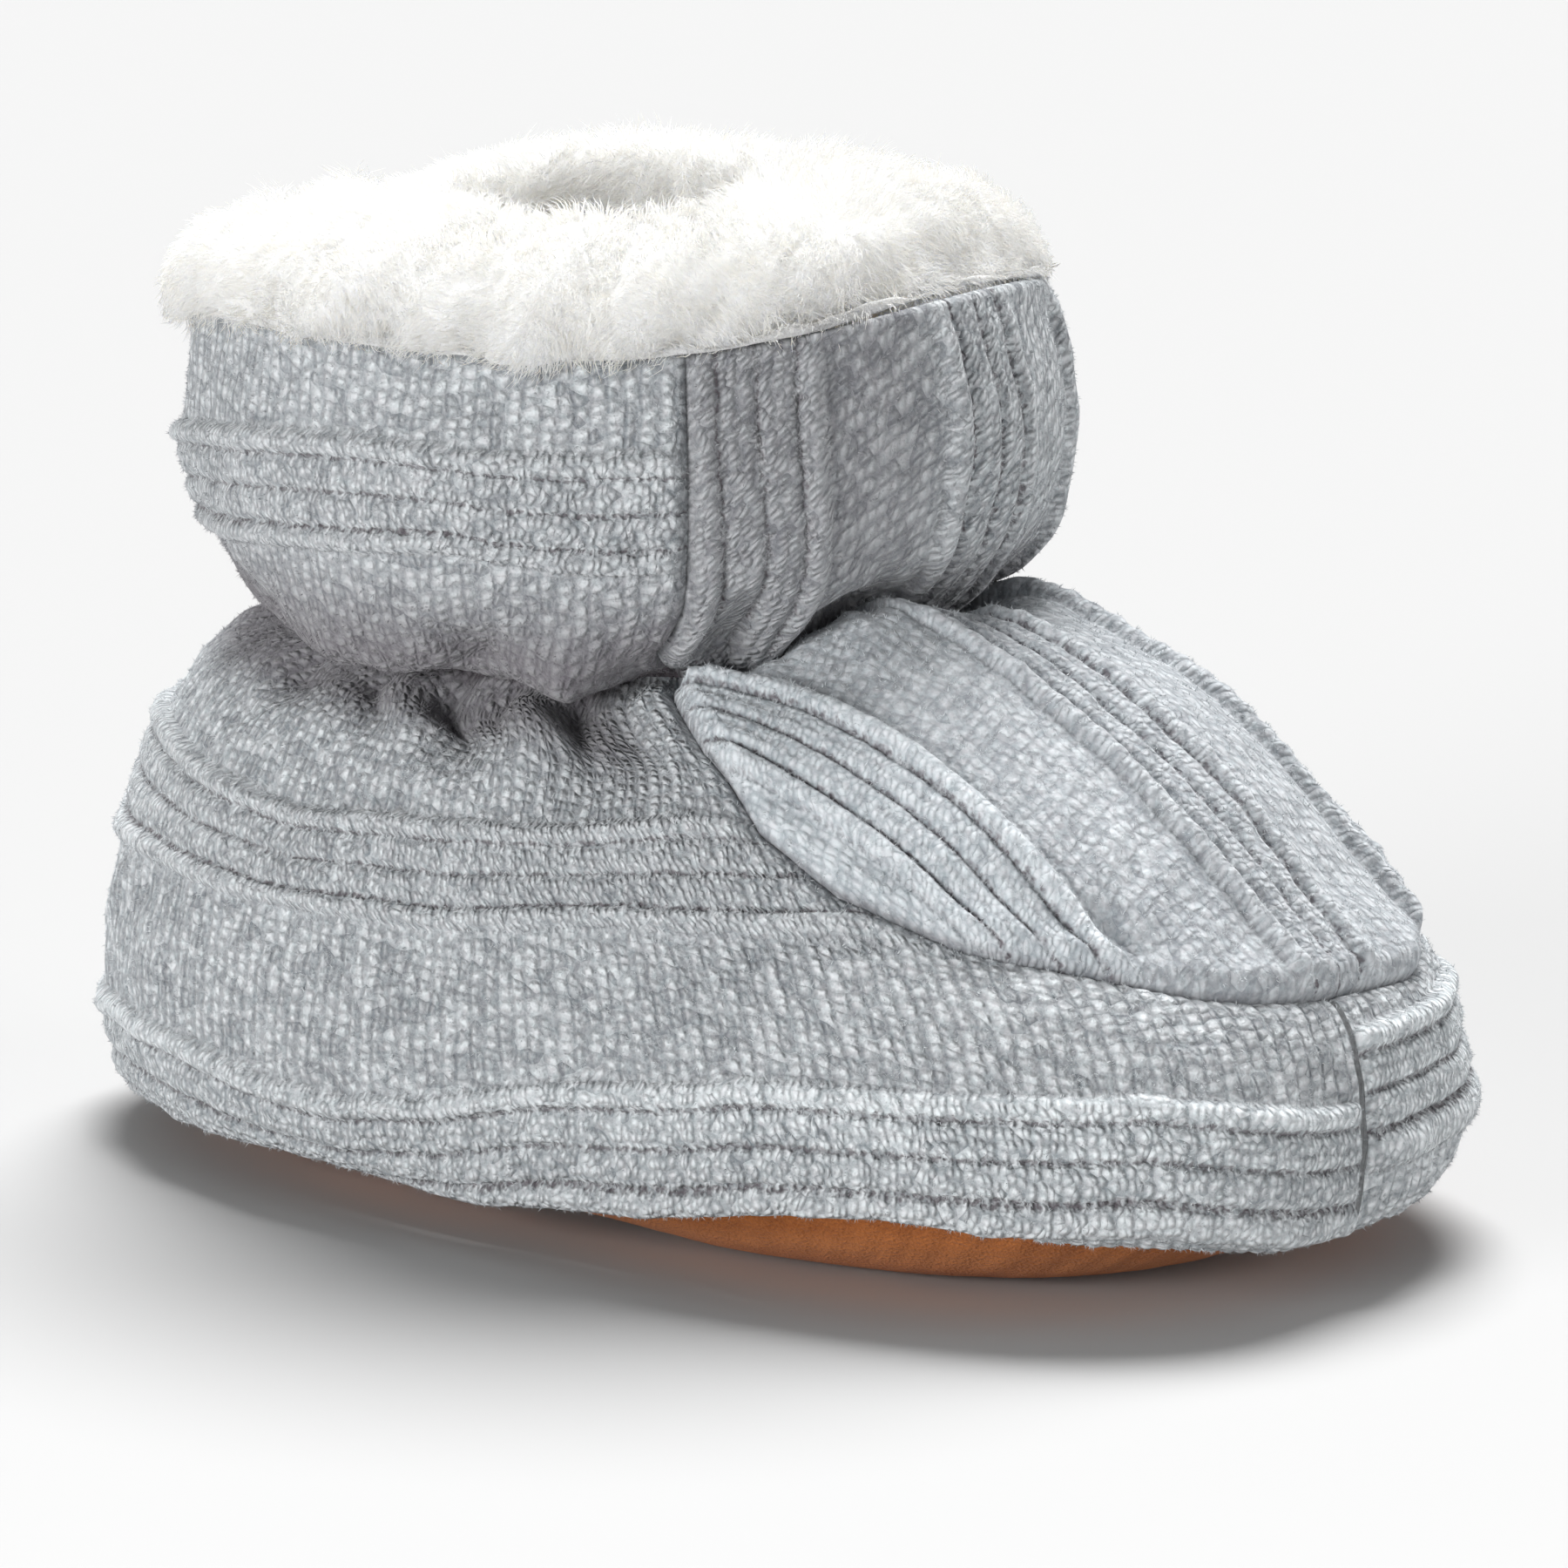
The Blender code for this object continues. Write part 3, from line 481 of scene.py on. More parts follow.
class Graph:
    """A small helper round one material's nodes."""

    def __init__(self, name):
        self.material = bpy.data.materials.new(name)
        self.material.use_nodes = True
        self.tree = self.material.node_tree
        self.shader = self.tree.nodes["Principled BSDF"]

    def put(self, socket, value):
        if isinstance(value, bpy.types.NodeSocket):
            self.tree.links.new(value, socket)
        else:
            socket.default_value = value

    def node(self, kind, inputs=None, **settings):
        made = self.tree.nodes.new(kind)
        for key, value in settings.items():
            setattr(made, key, value)
        for key, value in (inputs or {}).items():
            self.put(made.inputs[key], value)
        return made

    def maths(self, operation, a, b=0.0, c=0.0, clamp=False):
        made = self.node("ShaderNodeMath", {0: a, 1: b, 2: c}, operation=operation, use_clamp=clamp)
        return made.outputs[0]

    def mix(self, share, a, b):
        made = self.node("ShaderNodeMix", {0: share, 6: a, 7: b}, data_type="RGBA")
        return made.outputs[2]

    def ranged(self, value, from_low, from_high, to_low=0.0, to_high=1.0, smooth=False):
        made = self.node("ShaderNodeMapRange", {0: value, 1: from_low, 2: from_high, 3: to_low, 4: to_high},
                         interpolation_type="SMOOTHSTEP" if smooth else "LINEAR")
        return made.outputs[0]

    def attribute(self, name):
        return self.node("ShaderNodeAttribute", attribute_name=name).outputs["Fac"]

    def millimetres(self, stretch=(1.0, 1.0, 1.0)):
        place = self.node("ShaderNodeTexCoord").outputs["Object"]
        scale = tuple(1000.0 * value for value in stretch)
        return self.node("ShaderNodeVectorMath", {0: place, 1: scale}, operation="MULTIPLY").outputs[0]

    def noise(self, vector, scale, detail=2.0, roughness=0.5):
        return self.node("ShaderNodeTexNoise", {"Vector": vector, "Scale": scale, "Detail": detail,
                                                "Roughness": roughness})

    def cells(self, vector, scale, feature="F1"):
        return self.node("ShaderNodeTexVoronoi", {"Vector": vector, "Scale": scale}, feature=feature)

    def shifted(self, vector, scale, amount):
        """The vector pushed about by noise."""
        push = self.noise(vector, scale).outputs["Color"]
        centred = self.node("ShaderNodeVectorMath", {0: push, 1: (0.5, 0.5, 0.5)}, operation="SUBTRACT")
        grown = self.node("ShaderNodeVectorMath", {0: centred.outputs[0], "Scale": amount},
                          operation="SCALE")
        moved = self.node("ShaderNodeVectorMath", {0: vector, 1: grown.outputs[0]}, operation="ADD")
        return moved.outputs[0]

    def channels(self, colour):
        """The three channels of a colour, each an even random or smooth value."""
        return self.node("ShaderNodeSeparateColor", {0: colour}).outputs

    def off_centre(self, value, amount, level):
        """The level, raised or lowered by how far the value is from one half."""
        return self.maths("MULTIPLY_ADD", self.maths("SUBTRACT", value, 0.5), amount, level)

    def ramp(self, value, stops):
        made = self.node("ShaderNodeValToRGB", {0: value})
        made.color_ramp.interpolation = "EASE"
        elements = made.color_ramp.elements
        while len(elements) > 1:
            elements.remove(elements[-1])
        elements[0].position = stops[0][0]
        elements[0].color = (stops[0][1],) * 3 + (1.0,)
        for position, level in stops[1:]:
            element = elements.new(position)
            element.color = (level, level, level, 1.0)
        return made.outputs["Color"]

    def bump(self, height, distance, strength=1.0):
        made = self.node("ShaderNodeBump", {"Height": height, "Distance": distance, "Strength": strength})
        self.put(self.shader.inputs["Normal"], made.outputs[0])

    def finish(self, colour, roughness, sheen=0.0, sheen_roughness=0.5, specular=0.2):
        self.put(self.shader.inputs["Base Color"], colour)
        self.put(self.shader.inputs["Roughness"], roughness)
        self.shader.inputs["Metallic"].default_value = 0.0
        self.shader.inputs["Sheen Weight"].default_value = sheen
        self.shader.inputs["Sheen Roughness"].default_value = sheen_roughness
        self.shader.inputs["Specular IOR Level"].default_value = specular
        return self.material


def groove_stops():
    """Stops of a ramp over 0 to 10 mm that is bright at each groove."""
    stops = [(0.0, GROOVES[0][1])]
    for place, level in GROOVES:
        for offset, share in ((-1.0, 0.0), (0.0, 1.0), (1.0, 0.0)):
            position = (place + offset * GROOVE_HALF_WIDTH) / 10.0
            if position > stops[-1][0] + 0.002 and position < 1.0:
                stops.append((position, level * share))
    return stops


def knit_material(name, dark, light, depth, gap):
    """Soft chenille knit: chains of small tufts in wales and ribs, flecked light and dark, with painted
    light and shade on the tufts, in the grooves and along the seams.
    """
    graph = Graph(name)
    place = graph.millimetres()
    swing = graph.channels(graph.noise(place, 0.42, 1.0).outputs["Color"])
    quiver = graph.channels(graph.noise(place, 1.7, 1.0).outputs["Color"])
    along = graph.maths("MULTIPLY_ADD", swing[0], 1.1, graph.attribute("along"))
    cross = graph.maths("MULTIPLY_ADD", swing[1], 0.9, graph.attribute("cross"))
    plain = graph.attribute("plain")

    def tufts(long_way, cross_way, random):
        spot = graph.node("ShaderNodeCombineXYZ", {0: graph.maths("DIVIDE", along, long_way),
                                                   1: graph.maths("DIVIDE", cross, cross_way)}).outputs[0]
        cells = graph.node("ShaderNodeTexVoronoi", {"Vector": spot, "Scale": 1.0, "Randomness": random},
                           voronoi_dimensions="2D")
        fleck = graph.channels(cells.outputs["Color"])[0]
        return graph.ranged(cells.outputs["Distance"], 0.08, 0.66, 1.0, 0.0, smooth=True), fleck

    plain_height, plain_fleck = tufts(WALE, TUFT, 0.72)
    column = graph.maths("ABSOLUTE", graph.maths("SINE", graph.maths("MULTIPLY", along, math.pi / WALE)))
    column = graph.ranged(column, 0.0, 0.75, gap, 1.0, smooth=True)
    plain_height = graph.maths("MULTIPLY", plain_height, column)
    rib_height, rib_fleck = tufts(RIB_TUFT, RIB_STRAND, 0.75)
    height = graph.ranged(plain, 0.0, 1.0, rib_height, plain_height)
    fleck = graph.ranged(plain, 0.0, 1.0, rib_fleck, plain_fleck)
    fine = graph.noise(place, 3.4, 2.0, 0.6).outputs["Fac"]
    patch = graph.noise(place, 0.30, 3.0, 0.65).outputs["Fac"]

    grooves = None
    for key in ("across_low", "across_mid"):
        across = graph.off_centre(quiver[0], 0.8, graph.attribute(key))
        line = graph.ramp(graph.maths("MULTIPLY", across, 0.1), groove_stops())
        grooves = line if grooves is None else graph.maths("MAXIMUM", grooves, line)
    ragged = graph.ranged(quiver[1], 0.38, 0.60, 0.45, 1.15, smooth=True)
    grooves = graph.maths("MULTIPLY", grooves, ragged)
    broken = graph.ranged(quiver[2], 0.3, 0.6, 0.5, 1.0)
    seam = graph.maths("MULTIPLY", graph.attribute("seam"), broken)

    # Painted light on each tuft's top and painted shade at its edge and between the wale columns, over
    # random flecks
    level = graph.maths("MULTIPLY_ADD", fleck, 0.50, -0.10)
    level = graph.maths("MULTIPLY_ADD", height, 0.54, level)
    wale_light_and_shade = graph.maths("MULTIPLY", graph.maths("SUBTRACT", column, 0.7), plain)
    level = graph.maths("MULTIPLY_ADD", wale_light_and_shade, 0.22, level)
    # Painted highlight on the outer ribs of each group
    level = graph.maths("MULTIPLY_ADD", graph.attribute("crest_highlight"), 0.20, level)
    level = graph.off_centre(fine, 0.75, level)
    level = graph.off_centre(patch, 0.55, graph.maths("ADD", level, 0.15))
    level = graph.maths("MAXIMUM", graph.maths("MINIMUM", level, 1.0), 0.0)
    colour = graph.mix(level, dark, light)
    tint = graph.mix(quiver[0], TINT_COOL, TINT_WARM)
    colour = graph.node("ShaderNodeMix", {0: 0.55, 6: colour, 7: tint}, data_type="RGBA",
                        blend_type="MULTIPLY").outputs[2]
    # Painted shade: darker in the grooves, along the seams (partly a dark joint) and where the depth
    # attribute says
    shade = graph.maths("MULTIPLY", grooves, 0.78)
    shade = graph.maths("MAXIMUM", shade, graph.maths("MULTIPLY", seam, 0.55))
    shade = graph.maths("MAXIMUM", shade, graph.attribute("depth"))
    colour = graph.mix(graph.maths("MINIMUM", shade, 0.95), colour, KNIT_PAINTED_SHADE)

    relief = graph.maths("MULTIPLY", height, 0.95)
    relief = graph.maths("MULTIPLY_ADD", fleck, 0.25, relief)
    relief = graph.maths("MULTIPLY_ADD", fine, 0.35, relief)
    relief = graph.maths("MULTIPLY_ADD", grooves, -0.8, relief)
    graph.bump(relief, depth)
    return graph.finish(colour, 1.0, sheen=0.25, sheen_roughness=0.6, specular=0.08)


def fuzz_material():
    """Loose chenille fibres: the knit's grey, a little paler."""
    graph = Graph("chenille_fuzz")
    place = graph.millimetres()
    fleck = graph.channels(graph.cells(place, 1.1).outputs["Color"])[0]
    patch = graph.noise(place, 1.4, 2.0).outputs["Fac"]
    level = graph.maths("MULTIPLY_ADD", patch, 0.6, graph.maths("MULTIPLY", fleck, 0.45))
    level = graph.maths("MULTIPLY", level, graph.attribute("bright"))
    colour = graph.mix(graph.maths("MINIMUM", level, 1.0), FUZZ_DARK, FUZZ_LIGHT)
    # Painted shade, as on the knit beneath
    colour = graph.mix(graph.attribute("depth"), colour, KNIT_PAINTED_SHADE)
    return graph.finish(colour, 1.0, sheen=0.2, specular=0.08)


def plush_material(name, depth):
    """Cream pile with a faint warm shade between its clumps."""
    graph = Graph(name)
    place = graph.millimetres()
    clump = graph.noise(place, 0.30, 3.0, 0.55).outputs["Fac"]
    fine = graph.noise(place, 3.0, 2.0).outputs["Fac"]
    strand = graph.noise(graph.shifted(place, 0.4, 1.5), 2.2, 2.0).outputs["Fac"]
    level = graph.maths("MULTIPLY_ADD", fine, 0.3, graph.maths("MULTIPLY", clump, 0.7))
    colour = graph.mix(graph.ranged(level, 0.3, 0.6), PLUSH_WARM, PLUSH_LIGHT)
    graph.bump(graph.maths("MULTIPLY_ADD", strand, 0.7, fine), depth)
    graph.shader.inputs["Subsurface Weight"].default_value = 0.8
    graph.shader.inputs["Subsurface Radius"].default_value = (1.0, 0.95, 0.85)
    graph.shader.inputs["Subsurface Scale"].default_value = 0.0080
    return graph.finish(colour, 1.0, sheen=0.8, sheen_roughness=0.8, specular=0.08)


def suede_material():
    """Tan suede: a short nap brushed lighter and darker, and worn along the edge."""
    graph = Graph("tan_suede")
    place = graph.millimetres()
    brushed = graph.noise(graph.shifted(graph.millimetres((0.35, 1.0, 1.0)), 0.2, 2.0), 0.35, 4.0, 0.6)
    nap = graph.noise(place, 3.2, 3.0, 0.65).outputs["Fac"]
    pores = graph.cells(place, 3.0).outputs["Distance"]
    level = graph.maths("MULTIPLY_ADD", nap, 0.55, graph.maths("MULTIPLY", brushed.outputs["Fac"], 0.75))
    level = graph.ranged(level, 0.40, 0.90)
    colour = graph.mix(level, SUEDE_DARK, SUEDE_LIGHT)
    worn = graph.maths("MULTIPLY", graph.attribute("worn"), 0.4)
    colour = graph.mix(worn, colour, SUEDE_WORN)
    graph.bump(graph.maths("MULTIPLY_ADD", pores, 0.5, nap), 0.00016)
    return graph.finish(colour, 0.95, sheen=0.08, sheen_roughness=0.45, specular=0.05)


def side_distance(angles, rows):
    """Distance from the nearer side seam, along the surface, positive in front of it."""
    per_angle = np.linalg.norm(slopes(rows, angles)[1], axis=-1)
    return (SEAM_ANGLE - np.abs(turned(angles))) * per_angle


PUCKER_COUNT = 46


def puckers(rows, angles, seed):
    """Fine folds that run up and down where the knit is drawn in at the ankle."""
    draw = np.random.default_rng(seed)
    total = np.zeros(np.broadcast_shapes(rows.shape, angles.shape))
    for _ in range(PUCKER_COUNT):
        angle = draw.uniform(-math.pi, math.pi)
        width = math.radians(draw.uniform(1.3, 2.6))
        depth = draw.uniform(0.10, 0.42) * MM
        reach = draw.uniform(0.8, 1.7)
        drift = draw.uniform(-0.05, 0.05)
        turn = turned(angles - angle - drift * (rows - ANKLE_ROW))
        total = total - depth * bell(turn, width) * bell(rows - ANKLE_ROW, reach)
    return total


def arc_along(points):
    """Length along a line, or along each column of a grid, from its first point, in metres."""
    steps = np.linalg.norm(np.diff(points, axis=0), axis=-1)
    return np.concatenate([np.zeros((1,) + steps.shape[1:]), np.cumsum(steps, axis=0)])


def spread_rows(first, last, count, angles, weight):
    """Rows between two section numbers, at even lengths along the surface, closer where weight is high."""
    share = np.linspace(0.0, 1.0, 360)[:, None]
    fine = first + (last - first) * share
    points = surface(fine, angles)
    middle = 0.5 * (fine[1:] + fine[:-1])
    steps = np.linalg.norm(np.diff(points, axis=0), axis=-1) * weight(middle)
    total = np.concatenate([np.zeros((1, len(angles))), np.cumsum(steps, axis=0)])
    rows = np.empty((count, len(angles)))
    for column in range(len(angles)):
        wanted = np.linspace(0.0, total[-1, column], count)
        rows[:, column] = np.interp(wanted, total[:, column], fine[:, column])
    return rows


def at_row(values, rows, wanted):
    """Values of a grid where each column passes a section number."""
    found = np.empty(rows.shape[1])
    for column in range(rows.shape[1]):
        found[column] = np.interp(wanted[column], rows[:, column], values[:, column])
    return found


def loop_arc(row, angles):
    """Length round the shoe at one section from the first angle, in millimetres."""
    return arc_along(surface(np.full(len(angles), float(row)), angles)) / MM


def knit_attributes(along, cross, across_low, across_mid, seam, depth):
    """What the knit material reads: places in mm along and across the knit, its seams, and its painted
    highlight and painted shade.
    """
    low = np.clip(across_low, FAR_OFF, 10.0 - FAR_OFF)
    mid = np.clip(across_mid, FAR_OFF, 10.0 - FAR_OFF)
    inside = np.maximum(smooth_step(low, -0.6, 0.1) * smooth_step(-low, -GROUP_SPAN - 0.7, -GROUP_SPAN),
                        smooth_step(mid, -0.6, 0.1) * smooth_step(-mid, -GROUP_SPAN - 0.7, -GROUP_SPAN))
    # Painted highlight along the tallest rib at each edge of a group
    crest_highlight = sum(bell(across - RIBS[end][0], 0.75) for across in (low, mid) for end in (0, -1))
    return {"along": along, "cross": cross, "across_low": low, "across_mid": mid, "plain": 1.0 - inside,
            "seam": seam, "crest_highlight": crest_highlight, "depth": depth}


WRAP_FRONT_COLUMNS = 300
WRAP_BACK_COLUMNS = 440
WRAP_ROWS = 98
WRAP_TOP_ROWS = 46
WRAP_SPLIT_BACK = 4.75
# Ribs by the sole are a little wider than the others
LOW_CLOSENESS = 0.87
LOW_LAST = 0.62
APRON_COLUMNS = 360
APRON_ROWS = 160
SHAFT_ROWS = 92
SHAFT_FRONT_COLUMNS = 160
SHAFT_BACK_COLUMNS = 380
# Sections at which each panel's length round the shoe is taken
WRAP_ARC_ROW = 3.0
APRON_ARC_ROW = 4.0
SHAFT_FRONT_ARC_ROW = 9.5
SHAFT_BACK_ARC_ROW = 9.8
# Length of one stitch of the apron's raised edge, in millimetres
SELVAGE_STITCH = 1.45
SIDE_TUCK = math.radians(1.3)
TUCK_ROWS = 0.16
SEAM_TROUGH = 1.15 * MM
SEAM_ROUND = 1.9 * MM
APRON_RISE = 0.8 * MM
APRON_ROUND = 2.3 * MM
SEAM_CLEAR = 6.0 * MM


def search_tree(places):
    """A tree that finds the nearest of the places."""
    tree = kdtree.KDTree(len(places))
    for index, place in enumerate(places):
        tree.insert(Vector(place), index)
    tree.balance()
    return tree


def seam_tree():
    """A search tree over the apron seam and the side seams of the foot."""
    front = np.linspace(-SEAM_ANGLE, SEAM_ANGLE, 1500)
    along = surface(apron_seam_row(front), front)
    side_rows = np.linspace(APRON_SEAM[-1][1], ANKLE_ROW + 0.15, 200)
    sides = [surface(side_rows[:, None], np.array([angle]))[:, 0] for angle in (-SEAM_ANGLE, SEAM_ANGLE)]
    return search_tree(np.concatenate([along] + sides))


SEAM_TREE = seam_tree()


def seam_distance(points, rows, angles):
    """Distance from the apron's outline, positive inside it, negative outside it."""
    flat = points.reshape(-1, 3)
    found = np.array([SEAM_TREE.find(Vector(place))[2] for place in flat]).reshape(rows.shape)
    inside = (np.abs(turned(angles)) < SEAM_ANGLE) & (rows > apron_seam_row(angles))
    return np.where(inside, found, -found).clip(-SEAM_CLEAR, SEAM_CLEAR)


def creases(rows, angles):
    """Offset of the surface in the sharp creases, in metres, below 0 inwards."""
    total = np.zeros(np.broadcast_shapes(rows.shape, angles.shape))
    for degrees, depth, half_width, first, last, drift in CREASES:
        turn = turned(angles - np.radians(degrees + drift * (rows - ANKLE_ROW)))
        run = smooth_step(rows, first - 0.3, first + 0.5) * smooth_step(-rows, -last, -last + 1.2)
        width = math.radians(half_width) * (0.8 + 0.3 * (last - rows).clip(0.0, 2.5))
        total = total - depth * MM * np.exp(-np.abs(turn / width) ** 1.5) * run
    return total


class ArcTable:
    """Length up the foot to any section, in millimetres, for each of a ring of columns."""

    top = ANKLE_ROW + 0.3
    count = 400

    def __init__(self, angles):
        fine = np.linspace(0.0, self.top, self.count + 1)[:, None] + 0.0 * angles[None, :]
        self.lengths = arc_along(surface(fine, angles)) / MM

    def at(self, rows, columns):
        place = np.clip(rows / self.top * self.count, 0.0, self.count - 1e-6)
        lower = np.floor(place).astype(int)
        part = place - lower
        return self.lengths[lower, columns] * (1.0 - part) + self.lengths[lower + 1, columns] * part


def wrap_block(rows, angles, columns, arcs, loop_lengths):
    """Points and knit coordinates of one part of the band round the foot."""
    degrees = np.degrees(turned(angles))
    low_top = table_at(LOW_TOP, degrees)
    mid_top = table_at(MID_TOP, np.abs(degrees))
    mid_bottom = table_at(MID_BOTTOM, np.abs(degrees))
    base = surface(rows, angles)
    arc = arcs.at(rows, columns)
    drift = 0.16 * wander(base, 0.024, KNIT_SEED + 11)
    across_low = FIRST_RIB + (arcs.at(low_top, columns) - arc) * LOW_CLOSENESS + drift
    across_low = across_low - (1.0 - LOW_LAST) * np.clip(across_low - LAST_GROOVE, 0.0, 3.2)
    mid_arc = arcs.at(mid_top, columns)
    mid_span = np.maximum(mid_arc - arcs.at(mid_bottom, columns), 6.0)
    across_mid = FIRST_RIB + (mid_arc - arc) * (LAST_RIB - FIRST_RIB) / mid_span + drift
    distance = seam_distance(base, rows, angles)
    outside = np.clip(-distance, 0.0, None)
    trough = -SEAM_TROUGH * (1.0 - quarter_round(outside, SEAM_ROUND))
    trough = trough - 1.3 * MM * smooth_step(distance, -0.2 * MM, 0.9 * MM)
    toe_turn = turned(angles - TOE_SEAM_ANGLE) * np.linalg.norm(slopes(rows, angles)[1], axis=-1)
    toe = -0.45 * MM * (1.0 - quarter_round(np.abs(toe_turn), 1.6 * MM)) * smooth_step(rows, 0.2, 1.0)
    along = loop_lengths[None, :] + 0.0 * rows
    ribs = np.maximum(rib_relief(across_low), rib_relief(across_mid))
    uneven = 1.0 + 0.12 * wander(base, 0.004, KNIT_SEED + 12)
    ribs = ribs * smooth_step(outside, 0.2 * MM, 1.6 * MM) * uneven
    ribs = ribs * smooth_step(np.abs(toe_turn), 0.2 * MM, 1.5 * MM)
    soft = wander(base, 0.016, KNIT_SEED) * 0.35 * MM + wander(base, 0.005, KNIT_SEED + 1) * 0.13 * MM
    wales = 0.09 * MM * np.sin(along * TAU / WALE) * (1.0 - np.clip(ribs / (0.4 * MM), 0.0, 1.0))
    relief = gather_relief(rows, angles) + puckers(rows, angles, KNIT_SEED + 2) + creases(rows, angles)
    relief = relief + trough + toe + ribs + soft + wales
    points = base + outward(rows, angles) * relief[..., None]
    points[..., 2] += table_at(EDGE_RISE, degrees) * MM * (1.0 - smooth_step(rows, 0.35, 1.5))
    # Darker along the seams: partly a dark joint, partly painted shade in their troughs; the knit tucked
    # under the apron is painted fully dark
    seam = np.maximum(bell(outside, 0.42 * MM), 0.45 * bell(toe_turn, 0.30 * MM) * (rows > 0.4))
    seam = np.where(distance > 0.0, 1.0, seam)
    # Painted shade: the shaft's painted shadow on the foot behind the side seams, painted shade under the
    # hem at the ankle, and a little on the low rows by the sole
    side = smooth_step(np.abs(turned(angles)), SEAM_ANGLE, math.radians(84.0))
    depth = BACK_SHADE * side * smooth_step(rows, 4.2, 5.6) + FOLD_SHADE * smooth_step(rows, 6.35, 7.05)
    depth = np.maximum(depth, LOW_SHADE * smooth_step(-rows, -2.6, -1.6))
    return points, knit_attributes(along, arc, across_low, across_mid, seam, depth)


def make_wrap():
    """The knit band round the foot, from the sole's edge up to the apron seam and the ankle."""
    front = np.linspace(-SEAM_ANGLE, SEAM_ANGLE, WRAP_FRONT_COLUMNS)
    back = np.linspace(SEAM_ANGLE, TAU - SEAM_ANGLE, WRAP_BACK_COLUMNS + 2)
    ring = np.concatenate([front, back[1:-1]])
    size = np.abs(turned(ring))
    arcs = ArcTable(ring)
    lengths = loop_arc(WRAP_ARC_ROW, np.append(ring, ring[0] + TAU))
    start = np.interp(TOE_SEAM_ANGLE, ring[:WRAP_FRONT_COLUMNS], lengths[:WRAP_FRONT_COLUMNS])
    loop_lengths = np.mod(lengths[:-1] - start, lengths[-1])
    behind = smooth_step(size, SEAM_ANGLE, math.radians(110.0))
    split = apron_seam_row(np.clip(turned(ring), -SEAM_ANGLE, SEAM_ANGLE)) + TUCK_ROWS
    split = np.where(size > SEAM_ANGLE, split + (WRAP_SPLIT_BACK - split) * behind, split)
    degrees = np.degrees(turned(ring))
    low_top = table_at(LOW_TOP, degrees)
    mid_top = table_at(MID_TOP, np.abs(degrees))
    mid_bottom = table_at(MID_BOTTOM, np.abs(degrees))

    def weight(rows):
        groups = (rows < low_top + 0.25) | ((rows > mid_bottom - 0.25) & (rows < mid_top + 0.25))
        return np.where(groups, 1.9, 1.0)

    columns = np.arange(len(ring))
    rows = spread_rows(np.zeros(len(ring)), split, WRAP_ROWS, ring, weight)
    points, values = wrap_block(rows, ring, columns, arcs, loop_lengths)
    lower = (points, values, True)

    columns = np.concatenate([np.arange(WRAP_FRONT_COLUMNS - 1, len(ring)), [0]])
    angles = ring[columns]
    top = np.full(len(angles), ANKLE_ROW + 0.08)
    rows = spread_rows(split[columns], top, WRAP_TOP_ROWS, angles, np.ones_like)
    points, values = wrap_block(rows, angles, columns, arcs, loop_lengths[columns])
    return [lower, (points, values, False)]


# Rib groups of the front panel: where they stand from its middle line, in mm, and how closely they lie
GROUP_MIDDLE = 4.65
SIDE_GROUP_START = 1.9
APRON_RADIUS = 31.0
APRON_GROUP_MIDDLE = 4.1
APRON_MIDDLE_CLOSENESS = 0.89
APRON_SIDE_NEAR = 23.2
APRON_SIDE_FAR = 15.0
APRON_SIDE_CLOSENESS = 0.76


